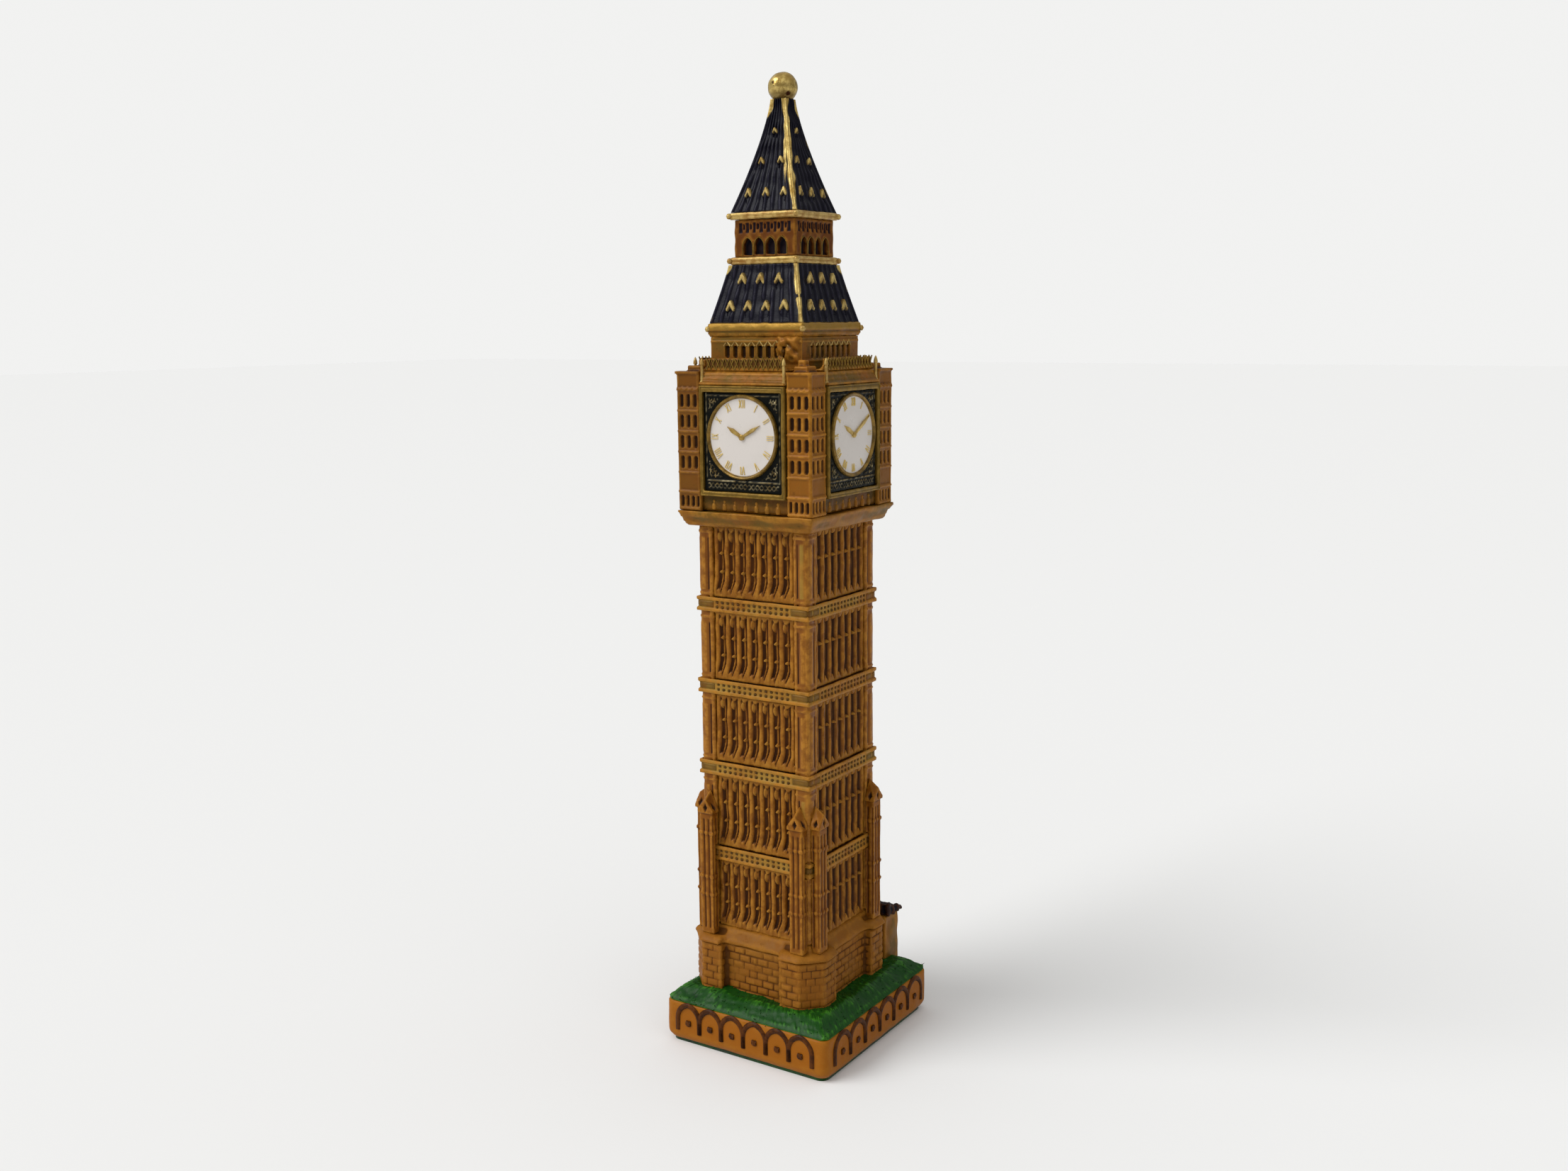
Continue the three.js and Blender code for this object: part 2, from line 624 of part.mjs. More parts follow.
function roofParapet() {
  const { endInset, wallThick, wallHeight, setBack } = PARAPET;
  const reach = CLOCK.coreHalf + CORNICE.topProud;
  const outline = plus(FRAME.half, reach);
  const floor = solidOf(stack([[Z.parapet, outline], [Z.arcade, outline]]));
  const front = reach - setBack;
  const end = FRAME.half - endInset;
  const walls = onFourFaces((face) => [
    faceBlock([-end, end], [Z.parapet, Z.arcade + wallHeight], [front - wallThick, front], face),
  ]);
  return withHole(addAll(floor, walls), SPIGOT.arcade, Z.parapet, Z.arcade);
}

function arcadeStage() {
  const { half, height, cut } = ARCADE;
  const { count, pier, mullion, sill, height: tall } = ARCADE_SLOTS;
  const stage = squareStack(Z.arcade, [[0, half], [height, half]]);
  const rise = [Z.arcade + sill, Z.arcade + sill + tall];
  const depth = [half - cut, half + 1];
  const pitch = (2 * (half - pier)) / count;
  const side = (pitch - mullion) / 2;
  const openings = onFourFaces((face) =>
    centred(count, pitch).map((u) => faceBlock([u - side, u + side], rise, depth, face)),
  );
  const cutStage = cutAll(stage, openings);
  return withSpigot(withSocket(cutStage, SPIGOT.arcade, Z.arcade), SPIGOT.arcadeCornice, Z.arcadeCornice);
}

function arcadeCornice() {
  const { neckProud, lipProud, neck, lipLow, lipHigh, height } = ARCADE_CORNICE;
  const [neckHalf, lipHalf] = [ARCADE.half + neckProud, ARCADE.half + lipProud];
  const cornice = squareStack(Z.arcadeCornice, [
    [0, ARCADE.half], [neck, neckHalf], [lipLow, lipHalf], [lipHigh, lipHalf], [height, neckHalf],
  ]);
  const socketed = withSocket(cornice, SPIGOT.arcadeCornice, Z.arcadeCornice);
  return withSpigot(socketed, SPIGOT.lowerRoof, Z.lowerRoof);
}

// ---- Roofs and lantern --------------------------------------------------------------------------
function roofHalf({ height, foot, tip, flare }, rise) {
  return tip + (foot - tip) * (1 - rise / height) ** flare;
}

function roofSlopes(base, roof) {
  const rises = Array.from({ length: roof.levels }, (_, i) => (roof.height * i) / (roof.levels - 1));
  return squareStack(base, rises.map((rise) => [rise, roofHalf(roof, rise)]));
}

// Small gabled dormers that stand out of a roof's four slopes, row by row.
function dormers(base, roof, rows) {
  return rows.flatMap(({ count, pitch, foot, height, width }) => {
    const front = roofHalf(roof, foot) + DORMER.proud;
    const low = base + foot;
    const eaves = low + height * DORMER.eaves;
    const side = width / 2;
    const gable = (u) => [
      [u - side, low], [u + side, low], [u + side, eaves], [u, low + height], [u - side, eaves],
    ];
    return onFourFaces((face) =>
      centred(count, pitch).map((u) => onFace([[front - DORMER.sunk, gable(u)], [front, gable(u)]], face)),
    );
  });
}

function lowerRoof() {
  const slopes = roofSlopes(Z.lowerRoof, LOWER_ROOF);
  const roof = addAll(slopes, dormers(Z.lowerRoof, LOWER_ROOF, LOWER_DORMERS));
  return withSpigot(withSocket(roof, SPIGOT.lowerRoof, Z.lowerRoof), SPIGOT.lantern, Z.sill, SILL.height);
}

// A moulding with both edges eased.
function moulding(base, { half, height, edge }) {
  return squareStack(base, [[0, half - edge], [edge, half], [height - edge, half], [height, half - edge]]);
}

function lanternSill() {
  return withHole(moulding(Z.sill, SILL), SPIGOT.lantern, Z.sill, Z.lantern);
}

// The lantern drops over the lower roof's long spigot, which passes through the sill.
function lantern() {
  const { half, height, cut } = LANTERN;
  const { count, pier, mullion, foot, spring, crown } = LANTERN_ARCHES;
  const body = squareStack(Z.lantern, [[0, half], [height, half]]);
  const depth = [half - cut, half + 1];
  const pitch = (2 * (half - pier)) / count;
  const side = (pitch - mullion) / 2;
  const haunch = (spring + 2 * crown) / 3;
  const archShape = [
    [-side, 0], [side, 0], [side, spring], [side / 2, haunch],
    [0, crown], [-side / 2, haunch], [-side, spring],
  ];
  const pointed = (middle) => archShape.map(([u, rise]) => [middle + u, Z.lantern + foot + rise]);
  const openings = onFourFaces((face) =>
    centred(count, pitch).map((u) => onFace(depth.map((w) => [w, pointed(u)]), face)),
  );
  const { width, foot: slotFoot, height: tall, cut: shallow } = LANTERN_SLOTS;
  const slotPitch = (2 * (half - LANTERN_SLOTS.pier)) / LANTERN_SLOTS.count;
  const rise = [Z.lantern + slotFoot, Z.lantern + slotFoot + tall];
  const slots = onFourFaces((face) =>
    centred(LANTERN_SLOTS.count, slotPitch).map((u) =>
      faceBlock([u - width / 2, u + width / 2], rise, [half - shallow, half + 1], face),
    ),
  );
  const open = cutAll(body, [...openings, ...slots]);
  const socketed = withSocket(open, SPIGOT.lantern, Z.lantern);
  return withSpigot(socketed, SPIGOT.spire, Z.lanternCornice, LANTERN_CORNICE.height);
}

function lanternCornice() {
  return withHole(moulding(Z.lanternCornice, LANTERN_CORNICE), SPIGOT.spire, Z.lanternCornice, Z.spire);
}

function spire() {
  const slopes = roofSlopes(Z.spire, SPIRE);
  const roof = addAll(slopes, dormers(Z.spire, SPIRE, SPIRE_DORMERS));
  const socketed = withSocket(roof, SPIGOT.spire, Z.spire);
  const hole = new THREE.CylinderGeometry(1, 1, 2 * (FINIAL.pinLength + FIT), FINIAL.segments);
  hole.scale(FINIAL.pinRadius + FIT, 1, FINIAL.pinRadius + FIT);
  return socketed.subtract(standing(hole));
}

// A solid turned about y, stood up along z on the spire's tip.
function standing(geometry) {
  return solidOf(geometry.rotateX(Math.PI / 2).translate(0, 0, Z.finial));
}

// A ball with a flat seat and a pin below it, turned in one piece.
function ballFinial() {
  const { radius, seatRadius, pinRadius, pinLength, segments, arcs } = FINIAL;
  const rise = Math.sqrt(radius ** 2 - seatRadius ** 2);
  const start = Math.atan2(-rise, seatRadius);
  const profile = [[0, -pinLength], [pinRadius, -pinLength], [pinRadius, 0]];
  for (let i = 0; i < arcs; i++) {
    const angle = THREE.MathUtils.lerp(start, Math.PI / 2, i / arcs);
    profile.push([radius * Math.cos(angle), rise + radius * Math.sin(angle)]);
  }
  profile.push([0, rise + radius]);
  return standing(turned(profile, segments));
}

// ---- Assembly -----------------------------------------------------------------------------------
addPiece("felt_pad", feltPad(), "felt");
addPiece("plinth", plinth(), "ochre");
addPiece("grass_mound", grassMound(), "grass");
addPiece("base_walls", baseWalls(), "stone");
addPiece("base_ledge", baseLedge(), "stone");
addPiece("annex_walls", annexWalls(), "stone");
addPiece("annex_roof", annexRoof(), "roof");
addPiece("shaft_core", shaftCore(), "stone");
COURSE.rises.forEach((rise, i) => addPiece(`string_course_${i + 1}`, stringCourse(rise), "stone"));
addPiece("clock_corbel", clockCorbel(), "stone");
addPiece("clock_stage_core", clockCore(), "stone");
for (const [name, face] of Object.entries(CORNERS)) {
  addPiece(`corner_pilaster_${name}`, cornerPilaster(face), "stone");
  addPiece(`corner_turret_${name}`, cornerTurret(face), "stone");
}
for (const [name, face] of Object.entries(FACES)) {
  addPiece(`tracery_panel_${name}`, traceryPanel(face), "stone");
  addPiece(`buttress_${name}_left`, buttress(face, -1), "stone");
  addPiece(`buttress_${name}_right`, buttress(face, 1), "stone");
  addPiece(`clock_frame_${name}`, clockFrame(face), "gold");
  addPiece(`dial_surround_${name}`, dialSurround(face), "black");
  addPiece(`dial_${name}`, dial(face), "white");
  addPiece(`clock_hands_${name}`, clockHands(face), "gold");
}
addPiece("clock_cornice", clockCornice(), "gold");
addPiece("roof_parapet", roofParapet(), "gold");
addPiece("arcade_stage", arcadeStage(), "stone");
addPiece("arcade_cornice", arcadeCornice(), "gold");
addPiece("lower_roof", lowerRoof(), "roof");
addPiece("lantern_sill", lanternSill(), "gold");
addPiece("lantern", lantern(), "ochre");
addPiece("lantern_cornice", lanternCornice(), "gold");
addPiece("spire", spire(), "roof");
addPiece("ball_finial", ballFinial(), "gold");

export default model;
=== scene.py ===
"""The cast, hand-painted surface of a souvenir Gothic clock tower, built on its solid parts.

The solid parts come in as a fixed frame, in metres, with the front face looking along -Y. Most parts
are replaced by a close-meshed casting of the same solid, with soft edges and carved relief, or by a
relief of their own. Repeated ornaments are made by Geometry Nodes. The lengths in the code are in
millimetres, and a finished mesh is scaled to metres as its last step.
"""
import math

import bmesh
import bpy
import numpy as np
from bpy.props import FloatProperty, FloatVectorProperty, IntProperty, PointerProperty
from mathutils import Euler, Matrix, Vector


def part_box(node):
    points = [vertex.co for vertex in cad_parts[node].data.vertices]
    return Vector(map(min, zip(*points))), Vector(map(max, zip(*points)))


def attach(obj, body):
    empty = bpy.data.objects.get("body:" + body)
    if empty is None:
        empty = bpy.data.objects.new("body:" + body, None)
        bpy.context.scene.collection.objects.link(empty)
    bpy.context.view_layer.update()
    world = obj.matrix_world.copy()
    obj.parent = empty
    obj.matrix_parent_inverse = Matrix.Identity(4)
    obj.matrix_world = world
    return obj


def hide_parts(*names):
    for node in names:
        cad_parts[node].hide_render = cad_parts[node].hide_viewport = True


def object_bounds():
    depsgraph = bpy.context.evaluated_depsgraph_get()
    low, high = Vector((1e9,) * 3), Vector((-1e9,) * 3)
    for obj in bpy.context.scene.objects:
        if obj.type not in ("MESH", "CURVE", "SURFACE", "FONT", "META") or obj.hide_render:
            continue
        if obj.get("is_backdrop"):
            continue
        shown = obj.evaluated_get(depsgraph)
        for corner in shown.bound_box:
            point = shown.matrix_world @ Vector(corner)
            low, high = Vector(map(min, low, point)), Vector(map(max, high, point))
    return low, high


bl_info = {
    "name": "Gothic Clock Tower Souvenir",
    "version": (1, 0, 0),
    "blender": (4, 5, 0),
    "location": "3D View > Sidebar > Clock Tower",
    "description": "Builds the cast and hand-painted surface of a souvenir clock tower",
    "category": "Add Mesh",
}

MM = 0.001
BODY = "root"
FACES = ("front", "right", "back", "left")
CORNERS = ("front_right", "back_right", "back_left", "front_left")
SIDES = ("left", "right")

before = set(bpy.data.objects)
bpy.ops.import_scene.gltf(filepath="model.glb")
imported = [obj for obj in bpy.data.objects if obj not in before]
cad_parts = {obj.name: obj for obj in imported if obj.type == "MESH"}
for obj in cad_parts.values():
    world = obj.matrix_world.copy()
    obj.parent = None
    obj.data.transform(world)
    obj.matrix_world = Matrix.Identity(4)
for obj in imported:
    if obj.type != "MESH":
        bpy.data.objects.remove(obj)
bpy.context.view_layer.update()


def low(node):
    """A solid's lowest corner, in millimetres."""
    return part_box(node)[0] / MM


def high(node):
    """A solid's highest corner, in millimetres."""
    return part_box(node)[1] / MM


# ---- Settings -----------------------------------------------------------------------------------
def length(name, description, default):
    return FloatProperty(
        name=name, description=description, default=default * MM, min=0, precision=5,
        subtype="DISTANCE", unit="LENGTH",
    )


def colour(name, description, default):
    return FloatVectorProperty(
        name=name, description=description, default=default, min=0, max=1, size=3, subtype="COLOR"
    )


def number(name, description, default, least):
    return IntProperty(name=name, description=description, default=default, min=least)


def strength(name, description, default):
    return FloatProperty(name=name, description=description, default=default, min=0)


class CastSettings(bpy.types.PropertyGroup):
    fine: length("Fine grain", "Mesh spacing on small castings", 0.245)
    medium: length("Medium grain", "Mesh spacing on most castings", 0.34)
    coarse: length("Coarse grain", "Mesh spacing on plain castings", 0.56)
    relief: length("Relief spacing", "Mesh spacing on the tracery and roofs", 0.28)
    lace: length("Lace spacing", "Mesh spacing on the panel behind each dial", 0.19)
    unevenness: length("Unevenness", "How far a cast surface strays from flat", 0.05)
    bays: number("Bays", "Tracery bays on each face", 7, 1)
    brick_rows: length("Brick height", "Height of one course of bricks", 2.0)
    joint: length("Joint depth", "Depth of the joints between bricks", 0.26)
    blades: number("Grass blades", "Blades on each square centimetre", 14, 0)
    frieze: number("Frieze arches", "Arches on each side of the plinth", 6, 1)


class PaintSettings(bpy.types.PropertyGroup):
    stone: colour("Stone", "Brown ochre of the tower", (0.145, 0.043, 0.004))
    stone_light: colour("Light stone", "Yellow ochre patches", (0.225, 0.078, 0.007))
    stone_wash: colour("Stone wash", "Red-brown wash in the slits", (0.026, 0.0055, 0.001))
    stone_edge: colour("Stone edges", "Gold brushed on the edges", (0.38, 0.16, 0.018))
    brick: colour("Brick", "Tan of the walls at the foot", (0.215, 0.084, 0.008))
    plinth: colour("Plinth", "Orange ochre of the plinth", (0.29, 0.092, 0.004))
    frieze: colour("Frieze", "Dark brown of the raised frieze", (0.018, 0.006, 0.002))
    gold: colour("Gold", "Gold paint", (0.3, 0.175, 0.03))
    olive: colour("Olive", "Olive gold of the frames and mouldings", (0.125, 0.072, 0.010))
    bright_gold: colour("Bright gold", "Pale gold on hips, tips and hands", (0.66, 0.49, 0.17))
    roof: colour("Roof", "Navy-black of the roofs", (0.0045, 0.004, 0.009))
    # Painted sheen: grey on the roofs' ribs that stands in for their reflections.
    roof_painted_sheen: colour("Roof edges", "Grey highlights on the ribs", (0.026, 0.024, 0.04))
    grass: colour("Grass", "Green of the bank", (0.006, 0.05, 0.004))
    grass_light: colour("Light grass", "Tips of the blades", (0.045, 0.19, 0.012))
    panel: colour("Dial panel", "Black behind each dial", (0.0045, 0.005, 0.004))
    lace: colour("Lace", "Silvery gold of the lacework", (0.5, 0.42, 0.24))
    dial: colour("Dial", "White of the dials", (0.61, 0.565, 0.525))
    felt: colour("Felt", "Dark green of the pad", (0.006, 0.02, 0.008))


class StageSettings(bpy.types.PropertyGroup):
    floor: colour("Floor", "Pale floor", (0.83, 0.83, 0.825))
    world: strength("Overhead", "Strength of the light from straight above", 0.75)
    horizon: strength("Horizon", "Strength of the light from the sides", 0.22)
    backdrop: strength("Backdrop", "Brightness behind the tower", 0.885)
    key: strength("Key light", "Strength of the main soft light", 2.0)
    fill: strength("Fill light", "Strength of the second soft light", 0.16)
    lens: FloatProperty(name="Lens", description="Focal length in millimetres", default=35.43, min=1)
    azimuth: FloatProperty(name="Azimuth", description="Camera's turn to the right, degrees", default=32.835)
    lift: FloatProperty(name="Lift", description="Camera's angle above the floor, degrees", default=9.213)
    distance: FloatProperty(name="Distance", description="Camera's distance, metres", default=0.40192)


def grain(name):
    """A length from the cast settings, in millimetres."""
    return getattr(bpy.context.scene.tower_cast, name) / MM


def paint_colour(name):
    return (*getattr(bpy.context.scene.tower_paint, name), 1)


# ---- Node helpers -------------------------------------------------------------------------------
def feed(tree, socket, value):
    if isinstance(value, bpy.types.NodeSocket):
        tree.links.new(value, socket)
    else:
        socket.default_value = value


def add_node(tree, kind, inputs=None, **settings):
    node = tree.nodes.new(kind)
    for key, value in settings.items():
        setattr(node, key, value)
    for key, value in (inputs or {}).items():
        feed(tree, node.inputs[key], value)
    return node


def calculate(tree, operation, first, second=0.0):
    return add_node(tree, "ShaderNodeMath", {0: first, 1: second}, operation=operation).outputs[0]


def blend_colours(tree, factor, first, second):
    return add_node(
        tree, "ShaderNodeMix", {"Factor": factor, 6: first, 7: second}, data_type="RGBA"
    ).outputs[2]


def map_range(tree, value, start, end, to_start=0.0, to_end=1.0):
    inputs = {"Value": value, "From Min": start, "From Max": end, "To Min": to_start, "To Max": to_end}
    return add_node(tree, "ShaderNodeMapRange", inputs, interpolation_type="SMOOTHSTEP").outputs[0]


def attribute(tree, name):
    return add_node(tree, "ShaderNodeAttribute", attribute_name=name).outputs["Fac"]


def noise(tree, coordinates, scale, detail=3.0, roughness=0.55):
    inputs = {"Vector": coordinates, "Scale": scale, "Detail": detail, "Roughness": roughness}
    return add_node(tree, "ShaderNodeTexNoise", inputs).outputs["Fac"]


# ---- Paint --------------------------------------------------------------------------------------
# Scales of the paint's noises, in waves to the metre, and how far brush strokes are drawn out upwards
PATCH_SCALE = 95
MOTTLE_SCALE = 480
STROKE_SCALE = 1300
SPECK_SCALE = 2300
STROKE_STRETCH = 0.14
GRAIN_DEPTH = 0.00025


def paint(name, base, second, wash, edge, rough=0.45, metal=0.0, gilt_metal=0.5, washed=1.0, edged=1.0,
          stained=1.0, ink="frieze", gilt="bright_gold", coat=0.0, grain_bump=0.3, shine=0.1):
    """Brushed-on paint: two mixed tones, a wash that settles in hollows and a lighter tone on edges.

    The attribute proud of a mesh says where it stands out, gilt where it is painted gold, and a third
    attribute where it takes the dark tone, which is dark paint in some places and painted shade in others.
    On the roofs the lighter tone on edges is a painted sheen. A mesh without them gets the two tones and
    the stains only.
    """
    material = bpy.data.materials.get(name)
    if material:
        return material
    material = bpy.data.materials.new(name)
    material.use_nodes = True
    tree = material.node_tree
    shader = tree.nodes["Principled BSDF"]
    place = add_node(tree, "ShaderNodeTexCoord").outputs["Object"]
    patches = noise(tree, place, PATCH_SCALE, 3)
    mottle = noise(tree, place, MOTTLE_SCALE, 4, 0.65)
    specks = noise(tree, place, SPECK_SCALE, 2)
    drawn = add_node(tree, "ShaderNodeMapping", {"Vector": place, "Scale": (1, 1, STROKE_STRETCH)}).outputs[0]
    strokes = noise(tree, drawn, STROKE_SCALE, 3)
    proud = attribute(tree, "proud")
    mixed = calculate(tree, "ADD", patches, calculate(tree, "MULTIPLY", mottle, 0.5))
    tone = map_range(tree, mixed, 0.55, 0.95)
    shade = blend_colours(tree, tone, paint_colour(base), paint_colour(second))
    streak = map_range(tree, strokes, 0.35, 0.7, 0.0, 0.35)
    shade = blend_colours(tree, streak, shade, paint_colour(second))
    hollow = map_range(tree, proud, -0.015, -0.16, 0.0, washed)
    hollow = calculate(tree, "MULTIPLY", hollow, map_range(tree, patches, 0.3, 0.62, 0.55, 1.0))
    shade = blend_colours(tree, hollow, shade, paint_colour(wash))
    stain = map_range(tree, calculate(tree, "SUBTRACT", mottle, calculate(tree, "MULTIPLY", patches, 0.35)),
                      0.42, 0.6, 0.0, 0.45 * stained)
    shade = blend_colours(tree, stain, shade, paint_colour(wash))
    # Lighter tone on raised edges: brushed-on paint, and on the roofs a painted sheen.
    crest_tone_and_sheen = map_range(tree, proud, 0.02, 0.16, 0.0, edged)
    crest_tone_and_sheen = calculate(tree, "MULTIPLY", crest_tone_and_sheen, map_range(tree, mottle, 0.38, 0.62, 0.25, 1.0))
    shade = blend_colours(tree, crest_tone_and_sheen, shade, paint_colour(edge))
    # Dark tone: dark paint in slits and openings, and painted shade where a piece marks it so.
    inked = attribute(tree, "inked")
    shade = blend_colours(tree, inked, shade, paint_colour(ink))
    gilded = attribute(tree, "gilt")
    worn = map_range(tree, mottle, 0.35, 0.7)
    gold_tone = blend_colours(tree, worn, paint_colour(gilt), paint_colour("gold"))
    shade = blend_colours(tree, gilded, shade, gold_tone)
    feed(tree, shader.inputs["Base Color"], shade)
    metallic = calculate(tree, "MULTIPLY", gilded, gilt_metal)
    if metal:
        metallic = calculate(tree, "MAXIMUM", metallic, map_range(tree, mottle, 0.3, 0.7, metal * 0.6, metal))
    feed(tree, shader.inputs["Metallic"], metallic)
    matt = map_range(tree, mottle, 0.25, 0.75, rough - 0.1, rough + 0.12)
    matt = calculate(tree, "ADD", matt, calculate(tree, "MULTIPLY", hollow, 0.1))
    feed(tree, shader.inputs["Roughness"], matt)
    shader.inputs["Specular IOR Level"].default_value = shine
    if coat:
        shader.inputs["Coat Weight"].default_value = coat
        shader.inputs["Coat Roughness"].default_value = 0.22
    height = calculate(tree, "ADD", mottle, calculate(tree, "MULTIPLY", specks, 0.45))
    height = calculate(tree, "ADD", height, calculate(tree, "MULTIPLY", strokes, 0.5))
    bump = add_node(tree, "ShaderNodeBump", {
        "Height": height, "Strength": grain_bump, "Distance": GRAIN_DEPTH,
    }).outputs[0]
    feed(tree, shader.inputs["Normal"], bump)
    return material


def stone_paint():
    return paint("painted_stone", "stone", "stone_light", "stone_wash", "stone_edge", rough=0.4, washed=0.85,
                 edged=0.8, gilt="stone_edge", gilt_metal=0.2)


# On the turrets the dark tone is the window slots' dark paint and the painted shade on their left and back
# sides.
def turret_paint():
    return paint("painted_turret", "stone_light", "brick", "stone_wash", "stone_edge", rough=0.38, metal=0.1,
                 washed=0.9, edged=0.9)


def course_paint():
    return paint("painted_course", "stone_light", "gold", "stone_wash", "stone_edge", rough=0.4, washed=0.6,
                 stained=0.9)


def pilaster_paint():
    return paint("painted_pilaster", "stone", "stone_light", "stone_wash", "stone_edge", rough=0.38,
                 gilt="gold", metal=0.1, stained=0.8, shine=0.15)


def brick_paint():
    return paint("painted_brick", "brick", "stone_light", "stone_wash", "stone_edge", rough=0.5,
                 washed=0.75, edged=0.45)


def plinth_paint():
    return paint("painted_plinth", "plinth", "plinth", "stone_wash", "stone_edge", rough=0.42, washed=0.25,
                 stained=0.3, edged=0.3, grain_bump=0.15)


def frieze_paint():
    return paint("painted_frieze", "frieze", "stone_wash", "frieze", "stone", rough=0.42, edged=0.55)


def gold_paint():
    return paint("painted_gold", "gold", "stone_light", "stone_wash", "bright_gold", rough=0.36, metal=0.5,
                 stained=0.5, edged=0.7, shine=0.25)


def bright_gold_paint():
    return paint("painted_bright_gold", "bright_gold", "gold", "stone", "bright_gold", rough=0.3, metal=0.75,
                 washed=0.5, stained=0.2, grain_bump=0.2, shine=0.4)


def cornice_paint():
    return paint("painted_cornice", "stone_light", "olive", "stone_wash", "stone_edge", gilt="gold",
                 rough=0.36, metal=0.15, washed=0.5, edged=0.8, stained=0.8)


def gold_stone_paint():
    return paint("painted_gold_stone", "stone_light", "olive", "stone_wash", "stone_edge", rough=0.38,
                 metal=0.2, washed=0.75, edged=0.7, gilt="gold")


def lantern_paint():
    return paint("painted_lantern", "stone", "stone", "stone_wash", "stone_edge", rough=0.42, ink="roof",
                 edged=0.7, stained=1.4, shine=0.06)


# On the ball the dark tone paints the shade on its underside, as well as the specks and two spots.
def ball_paint():
    return paint("painted_ball", "olive", "gold", "stone_wash", "bright_gold", rough=0.26, metal=0.85,
                 stained=1.2, ink="stone_wash", grain_bump=0.4)


def olive_paint():
    return paint("painted_olive", "olive", "olive", "stone_wash", "gold", rough=0.34, metal=0.4, stained=0.7,
                 edged=0.8, shine=0.15)


def numeral_paint():
    return paint("painted_numerals", "bright_gold", "bright_gold", "stone", "bright_gold", rough=0.35,
                 metal=0.15, stained=0.0, grain_bump=0.1)


def tile_paint():
    return paint("painted_tiles", "frieze", "roof", "roof", "stone", rough=0.5, edged=0.4)


# The grey on the roofs' ribs is a painted sheen.
def roof_paint():
    return paint("painted_roof", "roof", "roof", "roof", "roof_painted_sheen", rough=0.32, edged=0.65, washed=0.6,
                 stained=0.3, ink="roof", gilt_metal=0.35)


def grass_paint():
    return paint("painted_grass", "grass", "grass", "roof", "grass_light", rough=0.4, washed=0.5, edged=0.8,
                 stained=0.3, coat=0.05, shine=0.1)


def panel_paint():
    return paint("painted_panel", "panel", "panel", "panel", "panel", rough=0.2, gilt="lace", stained=0.2,
                 shine=0.05, gilt_metal=0.3)


def dial_paint():
    return paint("painted_dial", "dial", "dial", "stone_light", "dial", gilt="olive", rough=0.35,
                 washed=0.1, stained=0.06, grain_bump=0.08, shine=0.4)


def felt():
    """Short dark-green fibres."""
    material = paint("felt_pile", "felt", "grass", "felt", "felt", rough=0.9, grain_bump=0.8)
    shader = material.node_tree.nodes["Principled BSDF"]
    shader.inputs["Sheen Weight"].default_value = 0.4
    return material


# ---- Mesh helpers -------------------------------------------------------------------------------
def smooth(value):
    value = np.clip(value, 0, 1)
    return value * value * (3 - 2 * value)


def within(distance, half, soft=0.3):
    """1 where a distance is less than half, 0 beyond it, with a soft edge."""
    return smooth((half - np.abs(distance)) / soft + 0.5)


def bead(distance, width, height):
    """A round bead, or a groove with a negative height."""
    return height * np.clip(1 - (distance / (width / 2)) ** 2, 0, 1)


def lumps(points, size, seed=0):
    """Smooth unevenness between about -1 and 1, with bumps about size across."""
    random = np.random.default_rng(seed)
    total = np.zeros(len(points))
    waves = 7
    for _ in range(waves):
        direction = random.normal(size=3)
        direction *= 2 * math.pi / (size * random.uniform(0.7, 1.6) * np.linalg.norm(direction))
        total += np.sin(points @ direction + random.uniform(0, 2 * math.pi))
    return total * 2 / waves


def scatter(*whole):
    """A value between 0 and 1 that differs for each set of whole numbers."""
    total = sum(value * weight for value, weight in zip(whole, (12.9898, 78.233, 37.719)))
    return (np.sin(total) * 43758.5453) % 1


def turned(points, quarters):
    """Points of the front face, turned to another face."""
    x, y, z = points.T
    for _ in range(quarters):
        x, y = -y, x
    return np.column_stack([x, y, z])


def make_mesh(name, shapes):
    """One mesh from shapes, each a pair of points and a list of face arrays, in millimetres."""
    loops, starts, base, used = [], [], 0, 0
    for points, faces in shapes:
        for block in faces:
            block = np.asarray(block)
            loops.append((block + base).ravel())
            starts.append(used + np.arange(len(block)) * block.shape[1])
            used += block.size
        base += len(points)
    mesh = bpy.data.meshes.new(name)
    mesh.vertices.add(base)
    places = np.concatenate([points for points, _ in shapes])
    mesh.vertices.foreach_set("co", places.astype(np.float32).ravel())
    mesh.loops.add(used)
    mesh.loops.foreach_set("vertex_index", np.concatenate(loops).astype(np.int32))
    starts = np.concatenate(starts).astype(np.int32)
    mesh.polygons.add(len(starts))
    mesh.polygons.foreach_set("loop_start", starts)
    mesh.update(calc_edges=True)
    mesh.validate()
    return mesh


def coordinates(mesh):
    points = np.empty(len(mesh.vertices) * 3, np.float32)
    mesh.vertices.foreach_get("co", points)
    return points.reshape(-1, 3).astype(float)


def directions(mesh):
    normals = np.empty(len(mesh.vertices) * 3, np.float32)
    mesh.vertex_normals.foreach_get("vector", normals)
    return normals.reshape(-1, 3).astype(float)


def set_coordinates(mesh, points):
    mesh.vertices.foreach_set("co", points.astype(np.float32).ravel())
    mesh.update()


def set_attribute(mesh, name, values):
    layer = mesh.attributes.get(name) or mesh.attributes.new(name, "FLOAT", "POINT")
    layer.data.foreach_set("value", np.asarray(values, np.float32))


